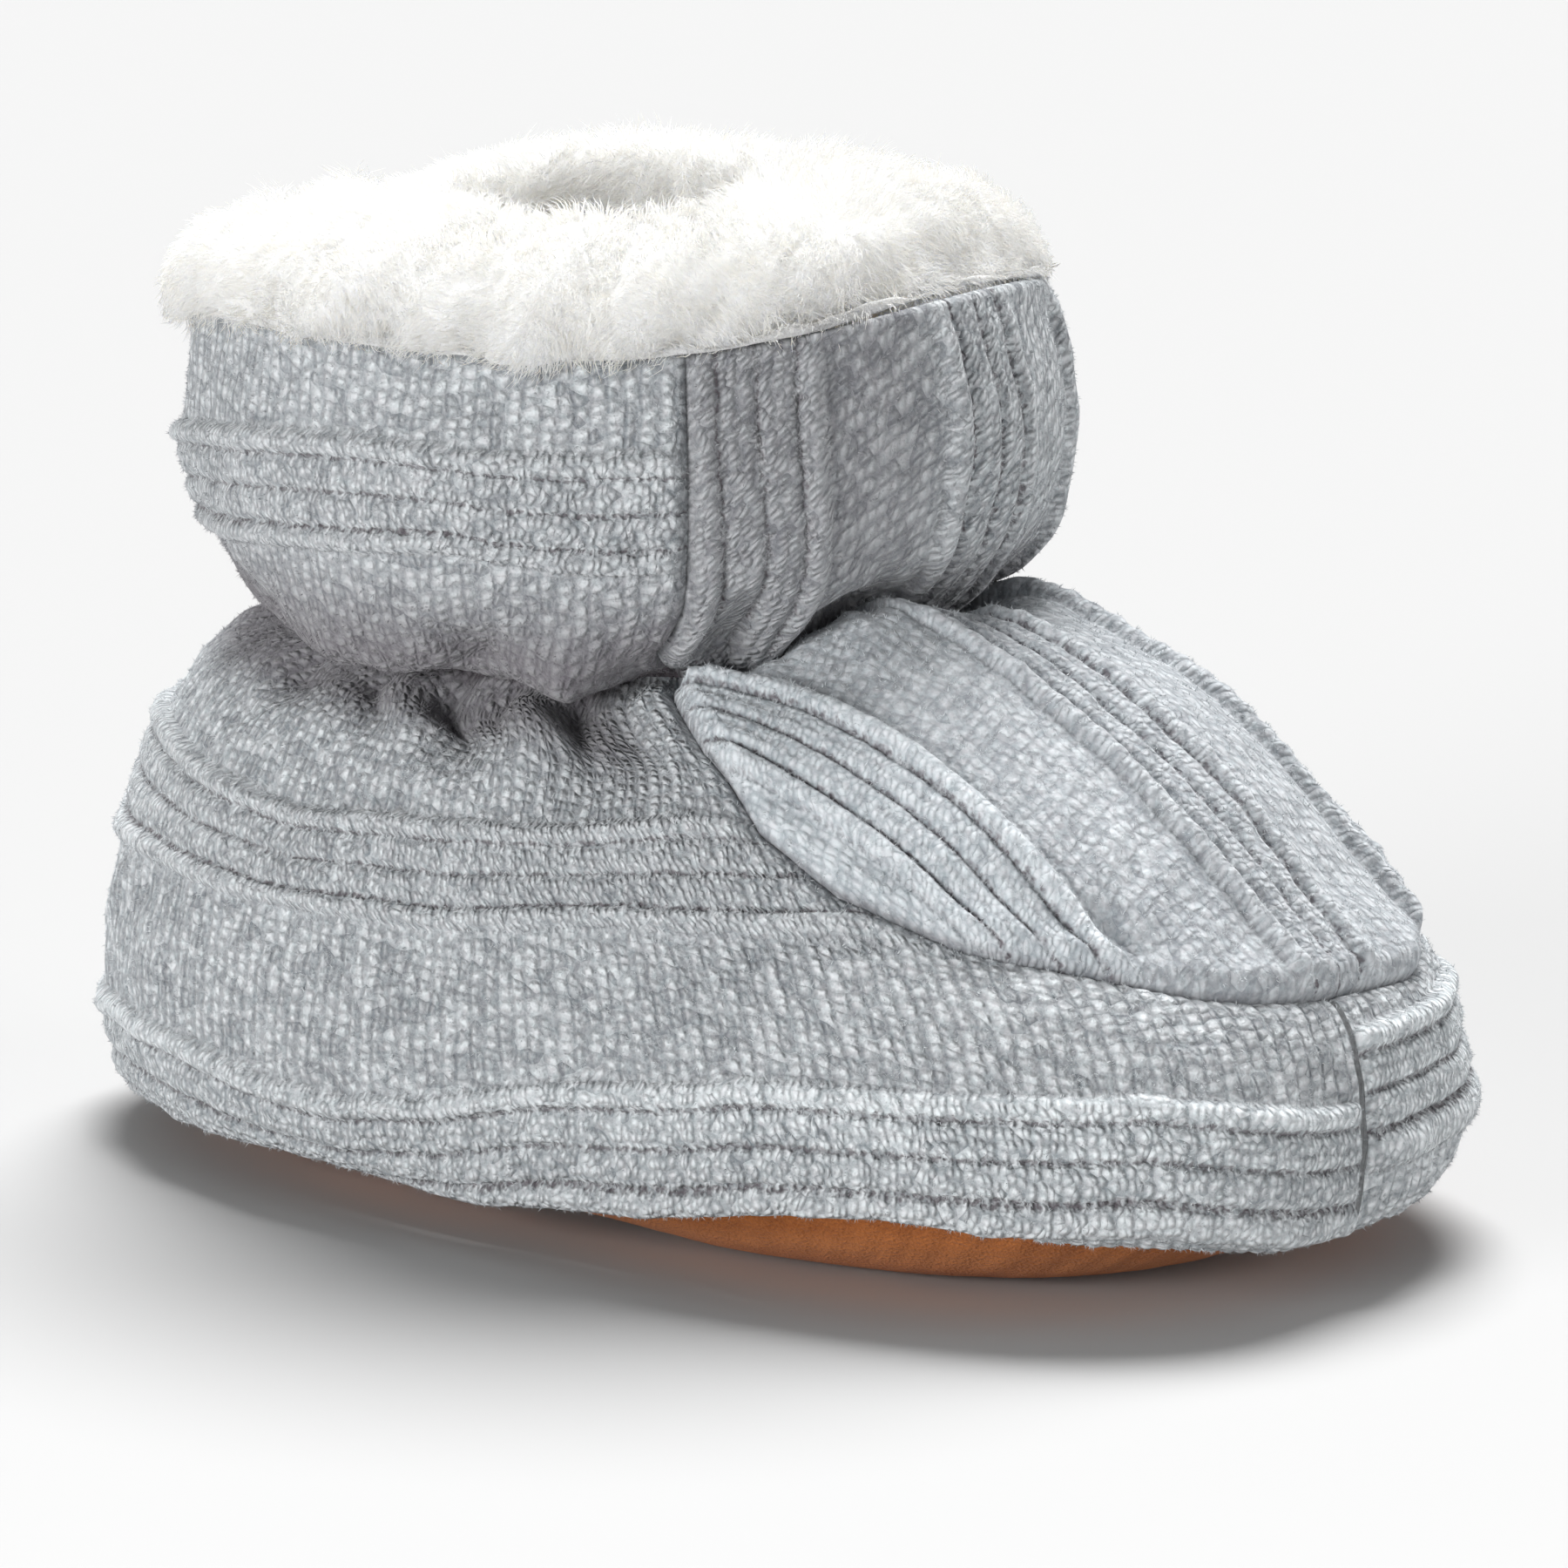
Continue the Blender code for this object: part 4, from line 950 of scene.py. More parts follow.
def make_apron():
    """The knit panel over the forefoot, puffed at its edge and tucked under the shaft."""
    limit = SEAM_ANGLE + SIDE_TUCK
    angles = np.linspace(-limit, limit, APRON_COLUMNS)
    held = np.clip(angles, -SEAM_ANGLE, SEAM_ANGLE)
    start = apron_seam_row(held) - 0.04
    rows = spread_rows(start, np.full(len(angles), ANKLE_ROW + 0.10), APRON_ROWS, angles,
                       np.ones_like)
    base = surface(rows, angles)
    distance = seam_distance(base, rows, angles)
    lateral = APRON_RADIUS * np.arcsin(np.clip(base[..., 1] / MM / APRON_RADIUS, -0.99, 0.99))
    drift = 0.35 * wander(base, 0.030, KNIT_SEED + 3)
    lateral = lateral + drift
    across_mid = GROUP_MIDDLE - (lateral + APRON_GROUP_MIDDLE) * APRON_MIDDLE_CLOSENESS
    spread = 0.05 * (base[..., 0] / MM - 22.0)
    near = SIDE_GROUP_START + (-lateral - APRON_SIDE_NEAR - spread) * APRON_SIDE_CLOSENESS
    far = SIDE_GROUP_START + (lateral - APRON_SIDE_FAR - spread) * APRON_SIDE_CLOSENESS
    across_low = np.maximum(near, far)
    centre_rows = np.linspace(3.0, 7.0, 200)
    centre = surface(centre_rows[:, None], np.array([0.0]))[:, 0]
    order = np.argsort(centre[:, 0])
    lengths = arc_along(centre)
    along = np.interp(base[..., 0], centre[order, 0], lengths[order]) / MM
    along = along - (centre[:, 0].min() - base[..., 0]).clip(0.0, None) / MM
    on_foot = 1.0 - smooth_step(rows, 5.4, ANKLE_ROW)
    inside = np.clip(distance, 0.0, None)
    lip = quarter_round(inside, APRON_ROUND)
    edge = (-SEAM_TROUGH + (SEAM_TROUGH + APRON_RISE) * lip) * (0.35 + 0.65 * on_foot)
    edge = edge - 0.7 * MM * smooth_step(-distance, 0.0, 0.8 * MM)
    ribs = np.maximum(rib_relief(across_low), rib_relief(across_mid))
    twist = 1.0 + 0.07 * np.sin(TAU * (along / 2.3 + 0.35 * np.floor(np.clip(across_mid, 0.0, 9.0) / 1.5)))
    ribs = ribs * twist * smooth_step(distance, 0.3 * MM, 2.2 * MM) * 1.12
    soft = wander(base, 0.014, KNIT_SEED + 4) * 0.32 * MM + wander(base, 0.0045, KNIT_SEED + 5) * 0.13 * MM
    selvage = bell(distance - 1.6 * MM, 0.7 * MM) * 0.22 * MM
    stitches = np.sin(loop_arc(APRON_ARC_ROW, angles) * TAU / SELVAGE_STITCH)
    selvage = selvage * (0.65 + 0.35 * stitches)[None, :]
    relief = gather_relief(rows, angles) + puckers(rows, angles, KNIT_SEED + 2)
    relief = relief + edge + ribs + soft + selvage + apron_folds(base) + creases(rows, angles)
    points = base + outward(rows, angles) * relief[..., None]
    lift = table_at(APRON_LIFT, np.degrees(turned(angles))) * MM
    points[..., 2] += lift * smooth_step(rows, 4.9, 6.7)
    # Darker along the seam: partly a dark joint, partly painted shade in its trough; the lip past the seam
    # is painted fully dark
    seam = bell(np.clip(distance, 0.0, None), 0.40 * MM) * (0.4 + 0.6 * on_foot)
    seam = np.where(distance < 0.0, 1.0, seam)
    # Painted shade under the shaft's hem
    depth = APRON_FOLD_SHADE * smooth_step(rows, 6.75, ANKLE_ROW)
    return points, knit_attributes(along, lateral, across_low, across_mid, seam, depth), False


# Soft folds of the apron: place of the middle, direction in degrees, half length, half width and height,
# the lengths in mm
APRON_FOLDS = (
    (44.5, -22.0, 32.0, 9.0, 1.6, -0.75),
    (49.0, -20.5, 20.0, 7.0, 1.4, -0.55),
    (41.0, -25.0, 48.0, 6.0, 1.5, 0.45),
    (30.0, 14.0, -22.0, 10.0, 3.0, -0.30),
    (52.0, 6.0, 80.0, 6.0, 2.0, -0.28),
    (24.0, -15.0, 70.0, 7.0, 2.2, -0.35),
)


def apron_folds(base):
    total = np.zeros(base.shape[:-1])
    for x, y, degrees, half_length, half_width, height in APRON_FOLDS:
        turn = math.radians(degrees)
        away_x = base[..., 0] / MM - x
        away_y = base[..., 1] / MM - y
        lengthwise = away_x * math.cos(turn) + away_y * math.sin(turn)
        sideways = away_y * math.cos(turn) - away_x * math.sin(turn)
        total = total + height * MM * bell(lengthwise, half_length) * bell(sideways, half_width)
    return total


SHAFT_SIDE_NEAR = 19.9
SHAFT_SIDE_FAR = 17.5
SHAFT_SIDE_CLOSENESS = 0.833
HEM_ROW = 7.85
HEM_REACH = 0.60
DRAWN_REACH = 0.85
# Steps of the knit over the rim: how far inward and how far up, in mm
RIM_CURL = ((0.25, 0.30), (0.80, 0.42), (1.50, 0.20), (2.20, -0.45), (3.60, -1.60))


def make_shaft(front):
    """One panel of the shaft, from inside the ankle fold up to the rim and over it."""
    if front:
        angles = np.linspace(-SEAM_ANGLE, SEAM_ANGLE, SHAFT_FRONT_COLUMNS)
    else:
        angles = np.linspace(SEAM_ANGLE, TAU - SEAM_ANGLE, SHAFT_BACK_COLUMNS)
    degrees = np.degrees(np.abs(turned(angles)))
    first = np.full(len(angles), ANKLE_ROW - 0.1)
    last = np.full(len(angles), RIM_ROW)
    rows = spread_rows(first, last, SHAFT_ROWS, angles, lambda middle: np.where(middle > 9.2, 1.3, 1.0))
    base = surface(rows, angles)
    arc = arc_along(base) / MM
    normal = outward(np.minimum(rows, RIM_ROW - 0.03), angles)
    if front:
        lateral = np.sign(turned(angles)) * loop_arc_from_toe(SHAFT_FRONT_ARC_ROW, np.abs(turned(angles)))
        near = SIDE_GROUP_START + (-lateral - SHAFT_SIDE_NEAR) * SHAFT_SIDE_CLOSENESS
        far = SIDE_GROUP_START + (lateral - SHAFT_SIDE_FAR) * SHAFT_SIDE_CLOSENESS
        bend = 0.35 * wander(base, 0.022, KNIT_SEED + 6)
        across_low = np.maximum(near, far)[None, :] + bend
        across_mid = (4.6 + (-1.2 - lateral) * 0.85)[None, :] + bend
        along = arc - 0.45 * lateral[None, :]
        cross = lateral[None, :] + 0.0 * rows
    else:
        group_top = table_at(SHAFT_TOP, degrees)
        groove = table_at(SHAFT_GROOVE, degrees)
        span = at_row(arc, rows, group_top) - at_row(arc, rows, groove)
        across_low = FIRST_RIB + (at_row(arc, rows, group_top) - arc) * (LAST_GROOVE - FIRST_RIB) / span
        across_low = across_low + 0.12 * wander(base, 0.02, KNIT_SEED + 7)
        across_mid = np.full(rows.shape, FAR_OFF)
        along = loop_arc(SHAFT_BACK_ARC_ROW, angles)[None, :] + 0.0 * rows
        cross = arc
    distance = np.abs(side_distance(angles, rows))
    trough = -0.95 * MM * (1.0 - quarter_round(distance, 1.2 * MM)) * smooth_step(rows, 7.3, 8.0)
    ribs = np.maximum(rib_relief(across_low), rib_relief(across_mid)) * 0.95
    ribs = ribs * smooth_step(distance, 0.2 * MM, 1.3 * MM) * smooth_step(rows, 7.6, 8.6)
    ribs = ribs * (1.0 - 0.7 * smooth_step(rows, 10.75, 11.0))
    soft = wander(base, 0.018, KNIT_SEED + 8) * 0.40 * MM + wander(base, 0.005, KNIT_SEED + 9) * 0.13 * MM
    relief = gather_relief(rows, angles) + puckers(rows, angles, KNIT_SEED + 2) + trough + ribs + soft
    relief = relief + shaft_folds(rows, angles)
    points = base + normal * relief[..., None]
    lift = table_at(HEM, np.degrees(turned(angles))) * MM
    points[..., 2] += lift * bell(rows - HEM_ROW, HEM_REACH) * smooth_step(rows, ANKLE_ROW - 0.1, 7.3)
    drawn = table_at(DRAWN_IN, np.degrees(turned(angles))) * MM * bell(rows - HEM_ROW, DRAWN_REACH)
    points = points - normal * np.array([1.0, 1.0, 0.0]) * drawn[..., None]
    # Darker along the side seams: partly a dark joint, partly painted shade in their trough
    seam = bell(distance, 0.35 * MM) * smooth_step(rows, 7.6, 8.2)

    edge = points[-1]
    level = rim_frame(angles)[1]
    curl = [edge - level * inward * MM + np.array([0.0, 0.0, rise * MM]) for inward, rise in RIM_CURL]
    points = np.concatenate([points, np.stack(curl)])
    extra = len(RIM_CURL)

    def grown(values):
        values = np.broadcast_to(values, rows.shape)
        return np.concatenate([values, np.repeat(values[-1:], extra, axis=0)])

    # Painted shade: a little over the whole back panel, more low on the shaft and under the hem, and on the
    # front panel, most on its near side
    depth = (0.0 if front else SHAFT_SHADE) + SHAFT_LOW_SHADE * smooth_step(-rows, -9.8, -8.4)
    depth = depth + SHAFT_FOLD_SHADE * smooth_step(-rows, -7.75, -7.35)
    shaded = SHAFT_FRONT_SHADE + SHAFT_NEAR_SHADE * smooth_step(-turned(angles), 0.0, 0.55)
    depth = np.maximum(depth, shaded[None, :]) if front else depth
    values = (along, cross, across_low, across_mid, seam, depth)
    return points, knit_attributes(*(grown(value) for value in values)), False


def loop_arc_from_toe(row, sizes):
    """Length round the shoe from the toe's angle to each of the given angles, in millimetres."""
    fine = np.linspace(0.0, math.pi, 721)
    return np.interp(sizes, fine, loop_arc(row, -fine))


# Long soft folds of the shaft: angle in degrees, section, drift in degrees per section, half width in
# degrees, half length in sections, height in mm
SHAFT_FOLDS = (
    (-30, 8.9, -14.0, 4.0, 0.55, -0.50),
    (-22, 9.4, -13.0, 4.0, 0.50, 0.30),
    (-100, 8.7, 10.0, 5.0, 0.60, -0.40),
    (-118, 8.6, 6.0, 6.0, 0.60, 0.45),
    (-146, 8.8, -8.0, 6.0, 0.70, -0.35),
    (30, 8.8, 12.0, 5.0, 0.60, -0.40),
    (110, 8.8, -8.0, 6.0, 0.60, -0.40),
    (165, 8.8, 5.0, 7.0, 0.70, -0.30),
)


def shaft_folds(rows, angles):
    total = np.zeros(rows.shape)
    for degrees, row, drift, half_width, half_length, height in SHAFT_FOLDS:
        turn = turned(angles - np.radians(degrees + drift * (rows - row)))
        total = total + height * MM * bell(turn, math.radians(half_width)) * bell(rows - row, half_length)
    return total


def join_grids(grids):
    """Points, quads and attributes of several grids as one mesh."""
    points, quads, attributes, start = [], [], {}, 0
    for grid, values, closed in grids:
        rows, columns = grid.shape[:2]
        quads.append(grid_quads(rows, columns, closed, start))
        points.append(grid.reshape(-1, 3))
        for key, value in values.items():
            attributes.setdefault(key, []).append(np.broadcast_to(value, (rows, columns)).ravel())
        start += rows * columns
    attributes = {key: np.concatenate(value) for key, value in attributes.items()}
    return np.concatenate(points), np.concatenate(quads), attributes


def scatter(grid, closed, count, draw, keep=None):
    """Random places on a grid, evenly by area: points and normals."""
    normals = grid_normals(grid, closed)
    rows, columns = grid.shape[:2]
    quads = grid_quads(rows, columns, closed)
    flat = grid.reshape(-1, 3)
    corners = flat[quads]
    areas = np.linalg.norm(np.cross(corners[:, 2] - corners[:, 0], corners[:, 3] - corners[:, 1]), axis=-1)
    if keep is not None:
        areas = areas * keep.reshape(-1)[quads[:, 0]]
    chance = np.cumsum(areas)
    pick = np.searchsorted(chance, draw.uniform(0.0, chance[-1], count))
    a, b = draw.uniform(0.0, 1.0, (2, count, 1))
    blend = ((1 - a) * (1 - b), a * (1 - b), a * b, (1 - a) * b)
    place = sum(weight * corners[pick, index] for index, weight in enumerate(blend))
    normal = sum(weight * normals.reshape(-1, 3)[quads[pick, index]] for index, weight in enumerate(blend))
    return place, normal / np.linalg.norm(normal, axis=-1, keepdims=True), quads[pick, 0]


FIBRES_PER_TUFT = 5
FOOT_TUFTS = 23000
SHAFT_TUFTS = 11000


def make_fuzz(name, grids, tufts, seed, material):
    """Single-triangle fibres in small tufts over the knit."""
    draw = np.random.default_rng(seed)
    total_area = [float(np.linalg.norm(np.cross(np.gradient(grid, axis=0), np.gradient(grid, axis=1)),
                                       axis=-1).sum()) for grid, _, _ in grids]
    places, normals, painted_shades = [], [], []
    for (grid, values, closed), area in zip(grids, total_area):
        count = int(tufts * area / sum(total_area))
        keep = 1.0 - np.clip(np.broadcast_to(values["seam"], grid.shape[:2]), 0.0, 1.0)
        place, normal, corner = scatter(grid, closed, count, draw, keep)
        places.append(place)
        normals.append(normal)
        # The fibres take on the painted shade of the knit where they grow
        painted_shades.append(np.broadcast_to(values["depth"], grid.shape[:2]).reshape(-1)[corner])
    place = np.repeat(np.concatenate(places), FIBRES_PER_TUFT, axis=0)
    normal = np.repeat(np.concatenate(normals), FIBRES_PER_TUFT, axis=0)
    count = len(place)
    fan = draw.normal(size=(count, 3))
    fan = fan - normal * (fan * normal).sum(-1, keepdims=True)
    lean = np.repeat(draw.normal(size=(count // FIBRES_PER_TUFT, 3)), FIBRES_PER_TUFT, axis=0) * 0.6
    lean = lean - normal * (lean * normal).sum(-1, keepdims=True)
    direction = unit(normal * draw.uniform(0.25, 0.8, (count, 1)) + fan * 0.45 + lean * 0.5)
    length = draw.uniform(0.22, 0.58, (count, 1)) * MM
    root = place + unit(fan) * draw.uniform(0.0, 0.16, (count, 1)) * MM - normal * 0.06 * MM
    side = unit(np.cross(direction, normal + 0.5 * draw.normal(size=(count, 3))))
    half = draw.uniform(0.028, 0.048, (count, 1)) * MM
    points = np.stack([root - side * half, root + side * half, root + direction * length], axis=1)
    faces = np.arange(3 * count).reshape(-1, 3)
    bright = np.repeat(np.clip(draw.normal(0.9, 0.28, count // FIBRES_PER_TUFT), 0.3, 1.5), FIBRES_PER_TUFT)
    bright = np.repeat(bright, 3).reshape(-1, 3)
    bright[:, 2] *= 1.15
    depth = np.repeat(np.concatenate(painted_shades), 3 * FIBRES_PER_TUFT)
    return add_piece(name, points.reshape(-1, 3), faces, material,
                     {"bright": bright, "depth": depth}, smooth=False)


def make_hair(name, root, normal, flow, length, width, clump_tip, clump_share, draw, material):
    """Tapered ribbons of two steps: a quad and a triangle each."""
    count = len(root)
    flow = flow - normal * (flow * normal).sum(-1, keepdims=True)
    upright = draw.uniform(0.30, 0.70, (count, 1))
    combed = draw.uniform(0.4, 1.0, (count, 1))
    direction = unit(normal * upright + unit(flow) * combed + 0.20 * draw.normal(size=(count, 3)))
    tip = root + direction * length
    tip = tip * (1.0 - clump_share) + clump_tip * clump_share
    bend = unit(flow) * length * 0.12
    middle = 0.5 * (root + tip) - bend + normal * length * 0.10
    side = unit(np.cross(unit(tip - root), normal + 0.35 * draw.normal(size=(count, 3))))
    points = np.stack([root - side * width, root + side * width, middle + side * width * 0.85,
                       middle - side * width * 0.85, tip], axis=1)
    first = np.arange(count)[:, None] * 5
    quads = first + np.array([0, 1, 2, 3])
    tips = first + np.array([3, 2, 4])
    return add_piece(name, points.reshape(-1, 3), [quads, tips], material)


# Plush
CUFF_COLUMNS = 300
CUFF_STEPS = 5
HAIR_COUNT = 84000
LOCKS = 1500
# How far the pile closes over the opening
PLUSH_MOUTH = 5.0 * MM
# How far the roll sits behind the knit rim in front
PLUSH_SET_BACK = 2.6 * MM


def rim_frame(angles):
    """The rim's edge and the level direction that points out from it."""
    rows = np.full(len(angles), RIM_ROW)
    edge = surface(rows, angles)
    tangent = surface(rows, angles + ANGLE_STEP) - surface(rows, angles - ANGLE_STEP)
    level = np.stack([tangent[:, 1], -tangent[:, 0], np.zeros(len(angles))], axis=-1)
    return edge, unit(level)


def cuff_lining(angles, depth_share, off_wall):
    rows = np.full(len(angles), RIM_ROW)
    depth = depth_share * LINING_DEPTH
    shaft_drop = surface(rows, angles)[:, 2] - surface(rows - 1.0, angles)[:, 2]
    rows = np.maximum(rows - depth / np.maximum(shaft_drop, 1e-4), DROOP_ROW + 0.3)
    wall = surface(rows, angles, WALL)
    wall = wall + outward(rows, angles, WALL) * (0.7 * gather_relief(rows, angles))[:, None]
    return wall - rim_frame(angles)[1] * off_wall


def cuff_loops(angles):
    """Loops round the plush collar's section, as its solid has them."""
    edge, level = rim_frame(angles)
    forward = frontness(angles)
    hang = 1.0 - 0.85 * forward ** 2
    lengths = {"overhang": PLUSH_OVERHANG * hang, "width": PLUSH_WIDTH, "height": PLUSH_HEIGHT}
    up = np.array([0.0, 0.0, 1.0])
    loops = [
        cuff_lining(angles, 0.96, FIT_GAP * 2.4),
        cuff_lining(angles, 0.50, FIT_GAP * 2.0),
        cuff_lining(angles, 0.0, FIT_GAP * 1.6) + up * FIT_GAP * 1.6,
    ]
    for name, out_length, out_share, up_length, up_share in CUFF_SECTION:
        out = lengths[out_length] * out_share
        if out_length == "width":
            out = out - 0.5 * WALL
        lift = lengths[up_length] * up_share + FIT_GAP
        if name in SAG_CLEARANCE:
            clear = FIT_GAP * SAG_CLEARANCE[name]
            sagging = (2.0 * hang - 1.0).clip(0.0, 1.0)
            out = np.maximum(out, clear)
            lift = lift * sagging + clear * (1.0 - sagging)
        out = out - PLUSH_FRONT_LEAN * forward ** 2 * min(1.0, max(0.0, up_share))
        lift = np.broadcast_to(lift, angles.shape)
        loops.append(edge + level * np.broadcast_to(out, angles.shape)[:, None] + up * lift[:, None])
    loops.append(cuff_lining(angles, 0.55, LINING_THICKNESS))
    loops.append(cuff_lining(angles, 0.92, LINING_THICKNESS * 0.9))
    loops.append(cuff_lining(angles, 1.04, LINING_THICKNESS * 0.5))
    return np.stack(loops)


def closed_spline(loops, steps):
    """Smooth rows through closed loops."""
    before = np.roll(loops, 1, axis=0)
    after = np.roll(loops, -1, axis=0)
    beyond = np.roll(loops, -2, axis=0)
    rows = []
    for step in range(steps):
        part = step / steps
        rows.append(0.5 * (2.0 * loops + (after - before) * part
                           + (2.0 * before - 5.0 * loops + 4.0 * after - beyond) * part ** 2
                           + (3.0 * loops - before - 3.0 * after + beyond) * part ** 3))
    stacked = np.stack(rows, axis=1)
    return stacked.reshape(-1, *loops.shape[1:])


def make_plush(base_material, hair_material):
    """The plush roll: a soft lumpy base and combed hair in locks."""
    angles = np.linspace(-math.pi, math.pi, CUFF_COLUMNS, endpoint=False)
    grid = closed_spline(cuff_loops(angles), CUFF_STEPS)
    rows, columns = grid.shape[:2]
    ring = np.concatenate([grid, grid[:1]])
    normal = grid_normals(ring, True)[:-1]
    row_number = np.arange(rows) / CUFF_STEPS
    forward = frontness(angles)
    start = 2.4 + 0.5 * forward[None, :] ** 7
    pile = smooth_step(row_number[:, None], start, start + 1.8)
    pile = pile * smooth_step(-row_number, -15.4, -14.0)[:, None]
    lumps = wander(grid, 0.0100, PLUSH_SEED) * 0.7 + wander(grid, 0.0042, PLUSH_SEED + 1) * 0.28
    grid[..., 0] -= PLUSH_SET_BACK * forward ** 6 * (smooth_step(row_number, 2.0, 3.2)
                                                     * smooth_step(-row_number, -12.0, -9.0))[:, None]
    sunk = (lumps * MM - 0.7 * MM) * pile
    mouth = smooth_step(row_number, 9.0, 11.0) * smooth_step(-row_number, -16.5, -14.5)
    sunk = sunk + PLUSH_MOUTH * mouth[:, None]
    grid = grid + normal * sunk[..., None]
    quads = grid_quads(rows + 1, columns, True) % (rows * columns)
    base = add_piece("plush_roll", grid, quads, base_material, replaced=("plush_cuff",))

    draw = np.random.default_rng(PLUSH_SEED + 2)
    ring = np.concatenate([grid, grid[:1]])
    keep = np.concatenate([pile, pile[:1]])
    root, up, _ = scatter(ring, True, HAIR_COUNT, draw, keep)
    lock_root, lock_up, _ = scatter(ring, True, LOCKS, draw, keep)
    middle = grid[int(5 * CUFF_STEPS):int(13 * CUFF_STEPS)].mean(axis=0).mean(axis=0)

    def comb(places, normals):
        """The way the pile lies: away from the opening and down, with slow swirls."""
        out = places - middle
        forward = frontness(np.arctan2(out[..., 1:2], out[..., 0:1]))
        out[..., 2] = 0.0
        out = unit(out) * (1.0 - 0.9 * forward ** 2)
        inner = (normals * out).sum(-1, keepdims=True) < -0.2
        away = np.where(inner, -out * 0.6, out * 0.8)
        swirl = np.stack([wander(places, 0.022, PLUSH_SEED + 3 + axis) for axis in range(3)], axis=-1)
        return away + swirl * 0.9 + np.array([0.0, 0.0, -0.35])

    lock_flow = comb(lock_root, lock_up)
    lock_flow = lock_flow - lock_up * (lock_flow * lock_up).sum(-1, keepdims=True)
    lock_length = draw.uniform(1.2, 2.1, (LOCKS, 1)) * MM
    lock_tip = lock_root + unit(lock_up * 0.62 + unit(lock_flow) * 0.8) * lock_length
    tree = search_tree(lock_root)
    nearest = np.array([tree.find(Vector(place))[1] for place in root])
    share = draw.uniform(0.05, 0.42, (HAIR_COUNT, 1))
    length = draw.uniform(1.0, 1.9, (HAIR_COUNT, 1)) * MM
    centre = middle * np.array([1.0, 1.0, 0.0])
    toward = (unit((root - centre) * np.array([1.0, 1.0, 0.0])) * up).sum(-1, keepdims=True)
    length = length * np.where(toward < -0.1, 1.8, 1.0)
    width = draw.uniform(0.035, 0.060, (HAIR_COUNT, 1)) * MM
    half = HAIR_COUNT // 2
    for name, part in (("plush_pile_a", slice(0, half)), ("plush_pile_b", slice(half, HAIR_COUNT))):
        make_hair(name, root[part], up[part], comb(root[part], up[part]), length[part], width[part],
                  lock_tip[nearest[part]], share[part], draw, hair_material)


def make_lining(material):
    """The plush lining inside the foot and the lower shaft."""
    angles = np.linspace(-math.pi, math.pi, 150, endpoint=False)
    rows = np.linspace(8.9, 0.75, 70)[:, None] + 0.0 * angles[None, :]
    points = surface(rows, angles, WALL)
    relief = 0.7 * gather_relief(rows, angles) - 0.5 * MM
    points = points + outward(rows, angles, WALL) * relief[..., None]
    sunk = (wander(points, 0.0035, LINING_SEED)[..., None] * 0.35 + 0.35) * MM
    points = points - outward(rows, angles, WALL) * sunk
    quads = grid_quads(len(rows), len(angles), True)
    return add_piece("inner_lining", points, quads, material, replaced=("upper",))


def sole_bottom(outline, share):
    x = outline[:, 0] * share
    y = outline[:, 1] * share
    rise = np.clip((share - SOLE_FLAT_SHARE) / (1.0 - SOLE_FLAT_SHARE), 0.0, 1.0) ** SOLE_ROUNDING
    reach = np.clip(1.0 - ((x - ARCH_CENTRE) / ARCH_HALF_LENGTH) ** 2, 0.0, 1.0)
    arch = ARCH_LIFT * reach ** 2
    z = np.maximum(arch, 0.0) * (1.0 - rise) + (outline[:, 2] - FIT_GAP) * rise
    return np.stack([x, y, z], axis=-1)


def sole_top(outline, share):
    rise = smooth_step(share, 0.55, 0.90)
    z = SOLE_THICKNESS + (outline[:, 2] - FIT_GAP - SOLE_THICKNESS) * rise
    return np.stack([outline[:, 0] * share, outline[:, 1] * share, z], axis=-1)


def capped(loops, ends):
    """Points and faces of loops closed by a fan at each end."""
    rows, columns = len(loops), len(loops[0])
    points = np.concatenate([np.concatenate(loops), np.array(ends)])
    quads = grid_quads(rows, columns, True)
    column = np.arange(columns)
    beside = (column + 1) % columns
    first = np.stack([np.full(columns, rows * columns), beside, column], axis=-1)
    top = (rows - 1) * columns
    last = np.stack([np.full(columns, rows * columns + 1), top + column, top + beside], axis=-1)
    return points, [quads, np.concatenate([first, last])]


# Length of one pucker of the sole's edge and of its slow change, in mm
SOLE_PUCKER = 3.4
SOLE_PUCKER_DRIFT = 21.0


def make_sole(material):
    """The padded suede sole, puckered where it is drawn up to the knit."""
    angles = np.linspace(-math.pi, math.pi, 300, endpoint=False)
    outline = surface(np.zeros(len(angles)), angles)
    outline[:, 2] += table_at(EDGE_RISE, np.degrees(angles)) * MM
    arc = loop_arc(0.0, angles)
    under = list(np.linspace(0.06, SOLE_FLAT_SHARE, 12)) + list(np.linspace(0.68, 1.0, 20))
    loops = []
    worn = []
    for share in under:
        loop = sole_bottom(outline, share)
        near_edge = smooth_step(share, 0.72, 0.97)
        wave = np.sin(arc * TAU / SOLE_PUCKER + 1.3 * np.sin(arc * TAU / SOLE_PUCKER_DRIFT))
        pucker = 0.16 * MM * wave * near_edge * (1.0 - bell(share - 1.0, 0.01))
        loop[:, 2] += np.maximum(wander(loop, 0.009, SOLE_SEED) * 0.10 * MM * (share > 0.70), 0.0)
        loop[:, :2] *= 1.0 + (pucker / np.linalg.norm(loop[:, :2], axis=-1))[:, None]
        loops.append(loop)
        worn.append(np.full(len(angles), float(bell(share - 0.88, 0.07))))
    for share in (0.985, 0.95, 0.90, 0.84, 0.78, 0.66, 0.55, 0.40, 0.20):
        loops.append(sole_top(outline, share))
        worn.append(np.zeros(len(angles)))
    arch = ARCH_LIFT * max(0.0, 1.0 - (ARCH_CENTRE / ARCH_HALF_LENGTH) ** 2) ** 2
    points, faces = capped(loops, [[0.0, 0.0, arch], [0.0, 0.0, SOLE_THICKNESS]])
    values = np.concatenate([np.concatenate(worn), [0.0, 0.0]])
    piece = add_piece("suede_sole", points, faces, material, {"worn": values},
                      replaced=("outsole",))


